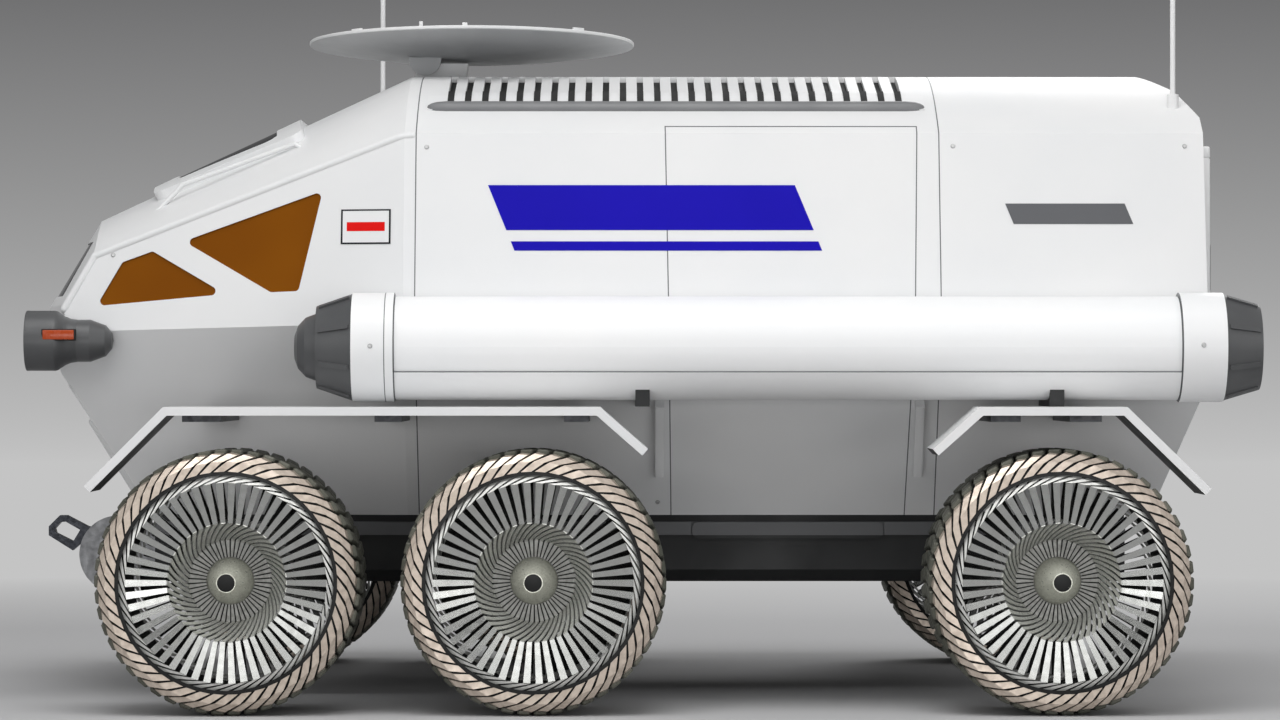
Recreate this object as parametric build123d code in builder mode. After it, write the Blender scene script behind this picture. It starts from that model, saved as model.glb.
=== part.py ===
from build123d import *
from math import atan2, cos, degrees, hypot, pi, radians, sin, sqrt, tan
import os

# Pressurised planetary rover, six wire-metal wheels. Millimetres, +X forward, +Y to the left, +Z up.
# The origin is on the ground under the middle of the vehicle.

# Overall reach
front_reach = 3000.0  # tip of the tow hook
rear_reach = 3000.0  # rear caps of the roll tubes
antenna_top = 3800.0

# Body section, half widths and heights
sill_half = 1180.0
sill_z = 907.0
belt_half = 1800.0
belt_z = 1850.0
crease_half = 1580.0
crease_z = 2775.0
roof_half = 550.0
roof_z = 3110.0
shoulder_rise = 62.0  # how far the rounded shoulder stands out of its chord
wall = 60.0
floor_thickness = 60.0

# Body stations along X
front_seam_x = 1041.0
rear_seam_x = -1503.0
slope_start_x = 1098.0
nose_end_x = 2960.0
rear_face_x = -2790.0

# Nose section at nose_end_x
nose_sill_half = 860.0
nose_belt_half = 1290.0
nose_belt_z = 1806.0
nose_crease_half = 1228.0  # keeps each side of the nose flat between belt and crease
nose_crease_z = 2068.0
nose_roof_half = 520.0
nose_roof_z = 2248.0
nose_shoulder_rise = 30.0

# Front of the nose
nose_tip_x = 2969.0
nose_bulge = 185.0  # how far the middle of the front stands ahead of its corners
windshield_base_z = 1942.0
windshield_lean = 31.0  # degrees from upright
chin_top = (2826.0, 1643.0)
chin_notch = (2772.0, 1554.0)
chin_foot = (2370.0, 907.0)
windshield_low = (1085.0, 1990.0)  # half width and height of the opening's lower edge
windshield_high = (985.0, 2262.0)
rear_brow = [(-2560.0, 3110.0), (-2700.0, 3010.0), (-2790.0, 2860.0)]
tail_top_z = 1500.0
tail_foot_x = -2570.0

# Raised hood
hood_x = (1649.0, 2385.0)
hood_half = (1060.0, 880.0)
hood_rise = 47.0
hood_corner = 60.0
hood_frame = 130.0

# Wheels
wheel_radius = 625.0
wheel_half_width = 410.0
wheel_mid_y = 2190.0
axle_z = 625.0
axle_x = {"front": 1890.0, "middle": 455.0, "rear": -2020.0}
blade_count = 50
blade_width = 58.0
blade_slant = 16.0  # degrees from the axle's direction
tread_half = 270.0
slit_floor = 520.0  # radius at which the slits between the blades close
shoulder_foot = 518.0  # radius of each blade at the tyre's side
tyre_sides = 25
tyre_inner = 496.0  # to the flats
knee_radius = 280.0
knee_offset = 340.0
throat_radius = 200.0
spoke_foot_offset = 396.0
spoke_root_width = 20.0
spoke_foot_width = 36.0
spoke_depth = 14.0
funnel_wall = 12.0
disc_half = 15.0
hub_base_radius = 110.0
hub_tip_radius = 47.0
hub_length = 386.0
hub_inner_reach = 60.0
hub_end_gap = 10.0

# Knuckles and suspension
kingpin_y = 1950.0
pin_radius = 30.0
pin_clearance = 0.5
stub_radius = 50.0
stub_reach = 80.0  # past the wheel's middle plane
barrel_radius = 60.0
barrel_half = 140.0
eye_radius = 58.0
eye_height = 45.0
eye_gap = 5.0
arm_half = 70.0
arm_root_half = 28.0
upper_root = 150.0
lower_root = 5.0

# Belly
belly_front_x = 2350.0
belly_rear_x = -2450.0
belly_bottom_z = 576.0
belly_half = 1150.0
band_half = 1180.0
band_bottom_z = 808.0
band_top_z = 872.0
neck_half = 1120.0
belly_chamfer = 60.0

# Roll tubes
tube_y = 2060.0
tube_z = 1730.0
tube_radius = 251.5
tube_band_radius = 261.0
tube_wall = 8.0
roll_clearance = 0.5
front_band = (1123.0, 1323.0)
rear_cap_length = 175.0
rear_band = (rear_cap_length - rear_reach, rear_cap_length - rear_reach + 210)
tube_window_drop = 120.0  # the trough's edge lies this far under the tube's axis
cap_rib_count = 8
rib_width = 24.0
rib_rise = 14.0
rib_margin = 14.0
front_cap = [(1323.0, 256.0), (1495.0, 197.0)]
front_dome = [(1495.0, 162.0), (1548.0, 142.0), (1585.0, 103.0), (1601.0, 58.0)]
rear_cap = [(rear_band[0], 256.0), (-rear_reach, 203.0)]
bracket_x = (-58.0, -2026.0)
bracket_half = 34.0
bracket_reach = 150.0
bracket_z = (1448.0, 1530.0)

# Doors, flap and windows
hatch_top = (-171.0, -1397.0, 2814.0)
hatch_bottom = (-203.0, -1356.0)
rear_opening_half = 850.0
rear_opening_z = (1560.0, 2640.0)
rear_door_half = 950.0
rear_door_z = (1490.0, 2756.0)
rear_door_thickness = 70.0
rear_door_corner = 90.0
rear_door_edge = 24.0
hinge_heights = (1700.0, 2540.0)
hinge_offset = 40.0
hinge_half = 18.0
hinge_knuckle = 60.0
hinge_gap = 5.0
ear_thickness = 18.0
hinge_pin_radius = 12.0
step_x = (-1253.0, -307.0)
step_z = (792.0, 871.0)
step_thickness = 28.0
step_gap = 5.0
step_corner = 30.0
glass_inset = 8.0
glass_thickness = 18.0
small_window = [(2620.0, 1937.0), (2493.0, 2153.0), (2342.0, 2206.0), (1974.0, 1993.0)]
large_window = [(2187.0, 2254.0), (1498.0, 2496.0), (1612.0, 2006.0), (1749.0, 2001.0)]
window_corner = 22.0

# Fenders
fender_outer_y = 2500.0
fender_width = 480.0
fender_thickness = 40.0
fender_top_z = 1447.0
front_fender = [(2562.0, 1077.0), (2191.0, 1447.0), (143.0, 1447.0), (-82.0, 1250.0)]
rear_fender = [(-1418.0, 1250.0), (-1639.0, 1447.0), (-2332.0, 1447.0), (-2726.0, 1063.0)]
fender_arm_x = [(2106.0, 1922.0), (1202.0, 1075.0), (313.0, 195.0), (-1693.0, -1834.0), (-2065.0, -2215.0)]
fender_arm_thickness = 30.0
fender_arm_setback = 50.0

# Headlights
headlight_y = 1420.0
headlight_z = 1766.0
headlight_ring_radius = 147.0
headlight_front_x = 2952.0
headlight_bezel_x = 2810.0
headlight_tail = [(2528.0, 0.0), (2536.0, 40.0), (2566.0, 76.0), (2640.0, 103.0)]  # X and radius
lens_radius = 128.0
lens_depth = 30.0
lens_thickness = 14.0

# Dish
dish_x = 815.0
dish_z = 3298.0  # rim height
dish_edge = 14.0
dish_profile = [(0.0, -80.0), (300.0, -68.0), (580.0, -38.0), (835.0, 0.0)]  # radius and height under the rim
dish_roll = 2.5  # degrees, left side up
dish_pivot = (1053.0, 3175.0)
pivot_pin_radius = 20.0
mast_outline = [(833.0, 3205.0), (1060.0, 3205.0), (1085.0, 3192.0), (1098.0, 3170.0), (1126.0, 3020.0), (862.0, 3020.0)]
mast_half = 110.0
lug_gap = 5.0
lug_thickness = 30.0
lug_centre = (1053.0, 3225.0)
lug_radius = 83.0
lug_root = 10.0  # how far each lug reaches up into the dish

# Roof
slat_count = 26  # on each side
slat_first_x = 900.0  # front edge of the first opening
slat_gap = 32.0
slat_width = 53.0
slat_thickness = 24.0
slat_y = (560.0, 1090.0)
rail_x = (-1430.0, 983.0)
rail_y = 1190.0
rail_radius = 34.0

# Antennas: place of each foot
front_antenna = (1336.0, -1300.0, 2600.0)
rear_antenna = (-2673.0, 1300.0, 2850.0)
antenna_radius = 13.0
socket_radius = 30.0
socket_height = 130.0

# Winch and hook at the front
winch_x = 2620.0
winch_z = 682.0
winch_radius = 198.0
winch_half = 240.0
flange_height = 26.0
flange_thickness = 24.0
cheek_half = 90.0
hook_shank = [(2780.0, 812.0), (2742.0, 844.0), (2660.0, 844.0), (2660.0, 780.0), (2742.0, 780.0)]
shank_half = 60.0
hook_outer = [(front_reach, 818), (2943, 875), (2907, 875), (2798, 818), (2744, 808), (2876, 694),
              (front_reach, 772)]
hook_inner = [(2968, 806), (2938, 840), (2912, 842), (2838, 800), (2874, 740), (2962, 784)]
hook_half = 38.0

os.makedirs("parts", exist_ok=True)
side_names = {1: "left", -1: "right"}


def save(piece, name):
    piece.part.label = name
    export_step(piece.part, f"parts/{name}.step")


def section(x, sill, sill_height, belt, belt_height, crease, crease_height, roof, roof_height, rise, inset):
    """One body section across X, pulled in by inset, its bottom left open when it is."""
    middle_y = (crease + roof) / 2
    middle_z = (crease_height + roof_height) / 2
    chord = hypot(crease - roof, roof_height - crease_height)
    bulge_y = middle_y + rise * (roof_height - crease_height) / chord
    bulge_z = middle_z + rise * (crease - roof) / chord
    drop = 2 * abs(inset)
    foot = sill - drop * (belt - sill) / (belt_height - sill_height)
    foot_z = sill_height - drop
    with BuildSketch(Plane.YZ.offset(x)) as outline:
        with BuildLine():
            Line((-roof, roof_height), (roof, roof_height))
            for side in (1, -1):
                ThreePointArc((side * roof, roof_height), (side * bulge_y, bulge_z), (side * crease, crease_height))
                Polyline((side * crease, crease_height), (side * belt, belt_height), (side * foot, foot_z))
            Line((-foot, foot_z), (foot, foot_z))
        make_face()
        if inset:
            offset(amount=-inset, kind=Kind.INTERSECTION)
    return outline.sketch


def main_section(x, inset):
    return section(x, sill_half, sill_z, belt_half, belt_z, crease_half, crease_z, roof_half, roof_z,
                   shoulder_rise, inset)


def nose_section(x, inset):
    """The nose tapers evenly from slope_start_x to nose_end_x."""
    share = (x - slope_start_x) / (nose_end_x - slope_start_x)
    pairs = [(sill_half, nose_sill_half), (sill_z, sill_z), (belt_half, nose_belt_half), (belt_z, nose_belt_z),
             (crease_half, nose_crease_half), (crease_z, nose_crease_z), (roof_half, nose_roof_half),
             (roof_z, nose_roof_z), (shoulder_rise, nose_shoulder_rise)]
    values = [full + share * (small - full) for full, small in pairs]
    return section(x, *values, inset)


def front_plan(inset):
    """Plan of the curved front at the windshield's base."""
    tip = nose_tip_x - inset
    half = belt_half + 100
    corner = tip - nose_bulge * (half / nose_belt_half) ** 2
    with BuildSketch(Plane.XY.offset(windshield_base_z)) as outline:
        with BuildLine():
            ThreePointArc((corner, -half), (tip, 0), (corner, half))
            Polyline((corner, half), (rear_face_x - 100, half), (rear_face_x - 100, -half), (corner, -half))
        make_face()
    return outline.sketch


def trim(points, half):
    """A prism across the vehicle, from its outline in X and Z."""
    with BuildPart() as prism:
        with BuildSketch(Plane.XZ):
            with BuildLine():
                Polyline(*points, close=True)
            make_face()
        extrude(amount=half, both=True)
    return prism.part


def hull(inset):
    """The whole cabin as a solid, pulled in by inset."""
    back = rear_face_x + inset
    far = nose_tip_x + 60
    low = sill_z - 2 * wall
    high = roof_z + 100
    lean = Vector(-tan(radians(windshield_lean)), 0, 1)
    chin = [(chin_foot[0] - 100 - inset, low - 100), (chin_foot[0] - inset, chin_foot[1]),
            (chin_notch[0] - inset, chin_notch[1]), (chin_top[0] - inset, chin_top[1]),
            (nose_tip_x - inset, chin_top[1] + 90), (far + 60, chin_top[1] + 90), (far + 60, low - 100)]
    brow = [(x + inset, z - inset) for x, z in rear_brow]
    brow = [(brow[0][0], high)] + brow + [(rear_face_x - 50, brow[-1][1]), (rear_face_x - 50, high)]
    tail = [(rear_face_x + inset, tail_top_z), (tail_foot_x + inset, sill_z),
            (tail_foot_x + inset + 100, low - 100), (rear_face_x - 50, low - 100), (rear_face_x - 50, tail_top_z)]
    with BuildPart() as front:
        extrude(to_extrude=front_plan(inset), amount=high - windshield_base_z + 400, dir=lean)
        extrude(to_extrude=front_plan(inset), amount=windshield_base_z - low + 100, dir=(0, 0, -1))
    with BuildPart() as solid:
        extrude(to_extrude=main_section(back, inset), amount=slope_start_x - back, dir=(1, 0, 0))
        loft(sections=[main_section(slope_start_x, inset), nose_section(far, inset)], ruled=True)
        add(front.part, mode=Mode.INTERSECT)
        add(trim(chin, 2 * belt_half), mode=Mode.SUBTRACT)
        add(trim(brow, 2 * belt_half), mode=Mode.SUBTRACT)
        add(trim(tail, 2 * belt_half), mode=Mode.SUBTRACT)
    return solid.part


def block(x, y, z):
    """A box between pairs of limits."""
    with BuildPart() as box:
        with Locations(((x[0] + x[1]) / 2, (y[0] + y[1]) / 2, (z[0] + z[1]) / 2)):
            Box(abs(x[1] - x[0]), abs(y[1] - y[0]), abs(z[1] - z[0]))
    return box.part


def side_prism(points, corner, y_from, y_to):
    """A prism through both side walls, from its outline in X and Z."""
    with BuildPart() as prism:
        with BuildSketch(Plane.XZ.offset(-y_from)) as outline:
            with BuildLine():
                Polyline(*points, close=True)
            make_face()
            if corner:
                fillet(outline.vertices(), corner)
        extrude(amount=-(y_to - y_from))
        mirror(about=Plane.XZ)
    return prism.part


# Cabin
outer = hull(0)
inner = hull(wall)
everywhere = 2 * rear_reach
slope = degrees(atan2(roof_z - nose_roof_z, nose_end_x - slope_start_x))
slope_plane = Plane(origin=(slope_start_x, 0, roof_z), x_dir=(cos(radians(slope)), 0, -sin(radians(slope))),
                    z_dir=(sin(radians(slope)), 0, cos(radians(slope))))

hatch_outline = [(hatch_top[0], hatch_top[2]), (hatch_top[1], hatch_top[2]),
                 (hatch_bottom[1], sill_z - 5), (hatch_bottom[0], sill_z - 5)]
hatch_cut = side_prism(hatch_outline, 0, sill_half - 100, 2 * belt_half)
window_cut = side_prism(small_window, window_corner, nose_crease_half / 2, 2 * belt_half)
window_cut += side_prism(large_window, window_corner, nose_crease_half / 2, 2 * belt_half)

with BuildPart() as windshield_cut:
    with BuildSketch(Plane.YZ.offset(chin_foot[0])):
        with BuildLine():
            Polyline((-windshield_low[0], windshield_low[1]), (windshield_low[0], windshield_low[1]),
                     (windshield_high[0], windshield_high[1]), (-windshield_high[0], windshield_high[1]), close=True)
        make_face()
    extrude(amount=front_reach - chin_foot[0])


def hood_prism(margin):
    """The raised hood's outline, square to the nose's slope, inside it by margin."""
    start = (hood_x[0] - slope_start_x) / cos(radians(slope)) + margin
    end = (hood_x[1] - slope_start_x) / cos(radians(slope)) - margin
    with BuildPart() as prism:
        with BuildSketch(slope_plane.offset(-crease_half / 2)) as outline:
            with BuildLine():
                Polyline((start, -hood_half[0] + margin), (end, -hood_half[1] + margin),
                         (end, hood_half[1] - margin), (start, hood_half[0] - margin), close=True)
            make_face()
            fillet(outline.vertices(), hood_corner)
        extrude(amount=crease_half)
    return prism.part


def shell(near, far):
    """The skin between two insets."""
    with BuildPart() as skin:
        add(hull(near))
        add(hull(far), mode=Mode.SUBTRACT)
    return skin.part


glass = shell(glass_inset, glass_inset + glass_thickness)
hood_skin = shell(-hood_rise, 0)
hood_glass_skin = shell(-hood_rise + glass_inset, -hood_rise + glass_inset + glass_thickness)

with BuildPart() as nose_shell:
    add(outer)
    add(inner, mode=Mode.SUBTRACT)
    add(block((front_seam_x, everywhere), (-everywhere, everywhere), (0, everywhere)), mode=Mode.INTERSECT)
    add(window_cut, mode=Mode.SUBTRACT)
    add(windshield_cut.part, mode=Mode.SUBTRACT)
    add(hood_prism(hood_frame), mode=Mode.SUBTRACT)
save(nose_shell, "nose_shell")

with BuildPart() as side_windows:
    add(glass)
    add(window_cut, mode=Mode.INTERSECT)
save(side_windows, "side_windows")

with BuildPart() as hood_panel:
    add(hood_skin)
    add(hood_prism(0), mode=Mode.INTERSECT)
    add(hood_prism(hood_frame), mode=Mode.SUBTRACT)
save(hood_panel, "hood_panel")

with BuildPart() as front_glass:
    add(glass)
    add(windshield_cut.part, mode=Mode.INTERSECT)
with BuildPart() as hood_glass:
    add(hood_glass_skin)
    add(hood_prism(hood_frame), mode=Mode.INTERSECT)
front_glass.part = Compound(children=[front_glass.part, hood_glass.part])
save(front_glass, "front_glass")

with BuildPart() as middle_shell:
    add(outer)
    add(inner, mode=Mode.SUBTRACT)
    add(block((rear_seam_x, front_seam_x), (-everywhere, everywhere), (0, everywhere)), mode=Mode.INTERSECT)

with BuildPart() as side_hatches:
    add(middle_shell.part)
    add(hatch_cut, mode=Mode.INTERSECT)
save(side_hatches, "side_hatches")

with BuildPart() as mid_walls:
    add(middle_shell.part)
    add(block((-everywhere, everywhere), (-everywhere, everywhere), (0, crease_z)), mode=Mode.INTERSECT)
    add(hatch_cut, mode=Mode.SUBTRACT)
save(mid_walls, "mid_walls")


def shoulder_height(y):
    """Height of the shoulder's skin at a half width."""
    chord = hypot(crease_half - roof_half, roof_z - crease_z)
    radius = (chord ** 2 / 4 + shoulder_rise ** 2) / (2 * shoulder_rise)
    tilt = atan2(roof_z - crease_z, crease_half - roof_half)
    centre_y = (crease_half + roof_half) / 2 - (radius - shoulder_rise) * sin(tilt)
    centre_z = (crease_z + roof_z) / 2 - (radius - shoulder_rise) * cos(tilt)
    return centre_z + sqrt(radius ** 2 - (y - centre_y) ** 2)


# Slats over a recess in each shoulder, with a half round rail below them
slat_pitch = slat_gap + slat_width
slat_end = slat_first_x - slat_count * slat_pitch - slat_gap
vents = []
for side in side_names:
    vents.append(block((slat_end, slat_first_x), (side * slat_y[0], side * slat_y[1]), (crease_z, roof_z + 50)))
with BuildPart() as mid_roof:
    add(middle_shell.part)
    add(block((-everywhere, everywhere), (-everywhere, everywhere), (crease_z, everywhere)), mode=Mode.INTERSECT)
    add(hatch_cut, mode=Mode.SUBTRACT)
    add(vents, mode=Mode.SUBTRACT)
    for side in side_names:
        near_z = shoulder_height(slat_y[0])
        far_z = shoulder_height(slat_y[1])
        for index in range(slat_count):
            with BuildSketch(Plane.YZ.offset(slat_first_x - (index + 1) * slat_pitch)):
                with BuildLine():
                    Polyline((side * slat_y[0], near_z), (side * slat_y[1], far_z),
                             (side * slat_y[1], far_z - slat_thickness),
                             (side * slat_y[0], near_z - slat_thickness), close=True)
                make_face()
    extrude(amount=slat_width)
save(mid_roof, "mid_roof")

with BuildPart() as roof_rails:
    for side in side_names:
        with BuildSketch(Plane.YZ.offset(rail_x[0])):
            with Locations((side * rail_y, shoulder_height(rail_y))):
                Circle(rail_radius)
        extrude(amount=rail_x[1] - rail_x[0])
    add(outer, mode=Mode.SUBTRACT)
save(roof_rails, "roof_rails")

rear_opening = block((2 * rear_face_x, rear_seam_x - 200), (-rear_opening_half, rear_opening_half), rear_opening_z)

# Rear door on two hinges at its right edge, each a pin between two ears of the rear wall
hinge_x = rear_face_x - rear_door_thickness / 2
hinge_y = -rear_door_half - hinge_offset
ear_low = hinge_knuckle / 2 + hinge_gap

with BuildPart() as rear_shell:
    add(outer)
    add(inner, mode=Mode.SUBTRACT)
    add(block((-everywhere, rear_seam_x), (-everywhere, everywhere), (0, everywhere)), mode=Mode.INTERSECT)
    add(rear_opening, mode=Mode.SUBTRACT)
    for height in hinge_heights:
        for direction in (1, -1):
            with Locations(((hinge_x - hinge_half + rear_face_x) / 2, hinge_y,
                            height + direction * (ear_low + ear_thickness / 2))):
                Box(rear_face_x - hinge_x + hinge_half, 2 * hinge_half, ear_thickness)
        with Locations((hinge_x, hinge_y, height)):
            Cylinder(hinge_pin_radius, 2 * ear_low + ear_thickness)
save(rear_shell, "rear_shell")

with BuildPart() as rear_door:
    with BuildSketch(Plane.YZ.offset(rear_face_x)) as door_outline:
        with Locations((0, (rear_door_z[0] + rear_door_z[1]) / 2)):
            Rectangle(2 * rear_door_half, rear_door_z[1] - rear_door_z[0])
        fillet(door_outline.vertices(), rear_door_corner)
    extrude(amount=-rear_door_thickness)
    chamfer(rear_door.faces().sort_by(Axis.X)[0].edges(), rear_door_edge)
    for height in hinge_heights:
        arm_end = -rear_door_half + rear_door_edge
        with Locations((hinge_x, (hinge_y - hinge_half + arm_end) / 2, height)):
            Box(2 * hinge_half, arm_end - hinge_y + hinge_half, hinge_knuckle)
        with Locations((hinge_x, hinge_y, height)):
            Cylinder(hinge_pin_radius + pin_clearance, hinge_knuckle, mode=Mode.SUBTRACT)
save(rear_door, "rear_door")

with BuildPart() as cabin_floor:
    add(inner)
    add(block((-everywhere, everywhere), (-everywhere, everywhere), (sill_z, sill_z + floor_thickness)),
        mode=Mode.INTERSECT)
save(cabin_floor, "cabin_floor")

# Belly under the cabin, with a recess for each folding step
with BuildPart() as belly:
    with BuildSketch(Plane.YZ.offset(belly_rear_x)):
        with BuildLine():
            Polyline((0, belly_bottom_z), (belly_half - belly_chamfer, belly_bottom_z),
                     (belly_half, belly_bottom_z + belly_chamfer), (belly_half, band_bottom_z),
                     (band_half, band_bottom_z), (band_half, band_top_z), (neck_half, band_top_z),
                     (neck_half, sill_z), (0, sill_z), close=True)
        make_face()
        mirror(about=Plane.YZ)
    extrude(amount=belly_front_x - belly_rear_x)
    for side in side_names:
        add(block((step_x[0] - step_gap, step_x[1] + step_gap),
                  (side * (band_half - step_thickness), side * (band_half + step_gap)),
                  (step_z[0] - step_gap, step_z[1] + step_gap)), mode=Mode.SUBTRACT)
save(belly, "belly")

# Folding step under each side hatch
for side, side_name in side_names.items():
    with BuildPart() as step:
        with BuildSketch(Plane.XZ.offset(-side * (band_half - step_thickness))) as step_outline:
            with Locations(((step_x[0] + step_x[1]) / 2, (step_z[0] + step_z[1]) / 2)):
                Rectangle(step_x[1] - step_x[0], step_z[1] - step_z[0])
            fillet(step_outline.vertices().group_by(Axis.Z)[0], step_corner)
        extrude(amount=-side * step_thickness)
    save(step, f"step_{side_name}")

# Fenders and their arms
with BuildPart() as fenders:
    for path in (front_fender, rear_fender):
        with BuildSketch(Plane.XZ.offset(-fender_outer_y)):
            with BuildLine():
                Polyline(*path)
                offset(amount=fender_thickness, kind=Kind.INTERSECTION, side=Side.LEFT, closed=True)
            make_face()
        extrude(amount=fender_width)
    mirror(about=Plane.XZ)
save(fenders, "fenders")

arm_top_z = fender_top_z - fender_thickness
with BuildPart() as fender_arms:
    for arm_x in fender_arm_x:
        add(block(arm_x, (neck_half / 2, fender_outer_y - fender_arm_setback),
                  (arm_top_z - fender_arm_thickness, arm_top_z)))
    mirror(about=Plane.XZ)
    add(outer, mode=Mode.SUBTRACT)
save(fender_arms, "fender_arms")


def rod(x_from, x_to, y, z, radius):
    """A round bar along X."""
    with BuildPart() as bar:
        with BuildSketch(Plane.YZ.offset(x_from)):
            with Locations((y, z)):
                Circle(radius)
        extrude(amount=x_to - x_from)
    return bar.part


# Roll tubes: two end bands joined by a half round trough that holds the roll
trough_turn = degrees(atan2(tube_window_drop, sqrt(tube_radius ** 2 - tube_window_drop ** 2)))
with BuildPart() as tube_housings:
    with BuildSketch(Plane.YZ.offset(rear_band[1])):
        with Locations((tube_y, tube_z)):
            Circle(tube_radius)
            Circle(tube_radius - tube_wall, mode=Mode.SUBTRACT)
            Rectangle(4 * tube_radius, 2 * tube_radius, rotation=-trough_turn, align=(Align.CENTER, Align.MIN),
                      mode=Mode.SUBTRACT)
    extrude(amount=front_band[0] - rear_band[1])
    add(rod(*front_band, tube_y, tube_z, tube_band_radius))
    add(rod(*rear_band, tube_y, tube_z, tube_band_radius))
    mirror(about=Plane.XZ)
save(tube_housings, "tube_housings")

with BuildPart() as tube_rolls:
    add(rod(rear_band[1], front_band[0], tube_y, tube_z, tube_radius - tube_wall - roll_clearance))
    mirror(about=Plane.XZ)
save(tube_rolls, "tube_rolls")

cap_axis = Axis((0, tube_y, tube_z), (1, 0, 0))
ribs = []
for foot, tip in (front_cap, rear_cap):
    forward = 1 if tip[0] > foot[0] else -1
    rib_from = foot[0] + forward * rib_margin
    rib_to = tip[0] - forward * rib_margin
    with BuildPart() as rib:
        with BuildSketch(Plane.XZ):
            with BuildLine():
                Polyline((rib_from, foot[1] / 2), (rib_from, foot[1] + rib_rise / 2), (rib_to, tip[1] + rib_rise),
                         (rib_to, foot[1] / 2), close=True)
            make_face()
        extrude(amount=rib_width / 2, both=True)
    ribs.append(rib.part)
with BuildPart() as tube_end_caps:
    with BuildSketch(Plane(origin=(0, tube_y, tube_z), x_dir=(1, 0, 0), z_dir=(0, -1, 0))):
        with BuildLine():
            Polyline((front_cap[0][0], 0), *front_cap, *front_dome, (front_dome[-1][0], 0), close=True)
        make_face()
        with BuildLine():
            Polyline((rear_cap[0][0], 0), rear_cap[0], rear_cap[1], (rear_cap[1][0], 0), close=True)
        make_face()
    revolve(axis=cap_axis)
    for index in range(cap_rib_count):
        turn = 360 * (index + 0.5) / cap_rib_count
        add([rib.rotate(Axis.X, turn).translate((0, tube_y, tube_z)) for rib in ribs])
    mirror(about=Plane.XZ)
save(tube_end_caps, "tube_end_caps")

with BuildPart() as tube_brackets:
    for middle in bracket_x:
        add(block((middle - bracket_half, middle + bracket_half), (neck_half, tube_y + bracket_reach), bracket_z))
    add(rod(-everywhere, everywhere, tube_y, tube_z, tube_radius), mode=Mode.SUBTRACT)
    mirror(about=Plane.XZ)
    add(outer, mode=Mode.SUBTRACT)
save(tube_brackets, "tube_brackets")

# Headlights on the nose's corners
with BuildPart() as headlights:
    with BuildSketch(Plane(origin=(0, headlight_y, headlight_z), x_dir=(1, 0, 0), z_dir=(0, -1, 0))):
        with BuildLine():
            Polyline(*headlight_tail, (headlight_bezel_x, headlight_tail[-1][1]),
                     (headlight_bezel_x, headlight_ring_radius), (headlight_front_x, headlight_ring_radius),
                     (headlight_front_x, lens_radius), (headlight_front_x - lens_depth, lens_radius),
                     (headlight_front_x - lens_depth, 0), close=True)
        make_face()
    revolve(axis=Axis((0, headlight_y, headlight_z), (1, 0, 0)))
    mirror(about=Plane.XZ)
    add(outer, mode=Mode.SUBTRACT)
save(headlights, "headlights")

with BuildPart() as headlight_lenses:
    add(rod(headlight_front_x - lens_depth, headlight_front_x - lens_depth + lens_thickness,
            headlight_y, headlight_z, lens_radius))
    mirror(about=Plane.XZ)
save(headlight_lenses, "headlight_lenses")

# Whip antennas
with BuildPart() as antennas:
    for foot_x, foot_y, foot_z in (front_antenna, rear_antenna):
        with Locations((foot_x, foot_y, foot_z)):
            Cylinder(antenna_radius, antenna_top - foot_z, align=(Align.CENTER, Align.CENTER, Align.MIN))
            Cylinder(socket_radius, socket_height, align=(Align.CENTER, Align.CENTER, Align.MIN))
    add(outer, mode=Mode.SUBTRACT)
save(antennas, "antennas")

# Dish on its mast
with BuildPart() as dish_mast:
    with BuildSketch(Plane.XZ):
        with BuildLine():
            Polyline(*mast_outline, close=True)
        make_face()
        with Locations(dish_pivot):
            Circle(pivot_pin_radius + pin_clearance, mode=Mode.SUBTRACT)
    extrude(amount=mast_half, both=True)
    add(outer, mode=Mode.SUBTRACT)
save(dish_mast, "dish_mast")

with BuildPart() as bowl:
    with BuildSketch(Plane.XZ):
        with BuildLine():
            Polyline(*dish_profile, *[(radius, height + dish_edge) for radius, height in reversed(dish_profile)],
                     close=True)
        make_face()
    revolve(axis=Axis.Z)
with BuildPart() as dish:
    add(bowl.part.rotate(Axis.X, dish_roll).translate((dish_x, 0, dish_z)))
    for side in side_names:
        with BuildSketch(Plane.XZ.offset(-side * (mast_half + lug_gap))):
            with Locations(lug_centre):
                Circle(lug_radius)
                Rectangle(2 * lug_radius, 2 * lug_radius, align=(Align.CENTER, Align.MIN), mode=Mode.SUBTRACT)
                Rectangle(2 * lug_radius, lug_root, align=(Align.CENTER, Align.MIN))
        extrude(amount=-side * lug_thickness)
    with BuildSketch(Plane.XZ):
        with Locations(dish_pivot):
            Circle(pivot_pin_radius)
    extrude(amount=mast_half + lug_gap + lug_thickness, both=True)
save(dish, "dish")

# Winch and tow hook under the nose
with BuildPart() as winch:
    with BuildSketch(Plane.XZ):
        with Locations((winch_x, winch_z)):
            Circle(winch_radius - flange_height)
    extrude(amount=winch_half, both=True)
    for side in side_names:
        with BuildSketch(Plane.XZ.offset(-side * winch_half)):
            with Locations((winch_x, winch_z)):
                Circle(winch_radius)
            with BuildLine():
                Polyline((belly_front_x, winch_z - cheek_half), (winch_x, winch_z - cheek_half),
                         (winch_x, winch_z + cheek_half), (belly_front_x, winch_z + cheek_half), close=True)
            make_face()
        extrude(amount=-side * flange_thickness)
save(winch, "winch")

with BuildPart() as tow_hook:
    with BuildSketch(Plane.XZ):
        with BuildLine():
            Polyline(*hook_outer, close=True)
        make_face()
        with BuildLine():
            Polyline(*hook_inner, close=True)
        make_face(mode=Mode.SUBTRACT)
    extrude(amount=hook_half, both=True)
    with BuildSketch(Plane.XZ):
        with BuildLine():
            Polyline(*hook_shank, close=True)
        make_face()
    extrude(amount=shank_half, both=True)
    with BuildSketch(Plane.XZ):
        with Locations((winch_x, winch_z)):
            Circle(winch_radius - flange_height)
    extrude(amount=winch_half, both=True, mode=Mode.SUBTRACT)
save(tow_hook, "tow_hook")

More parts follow.
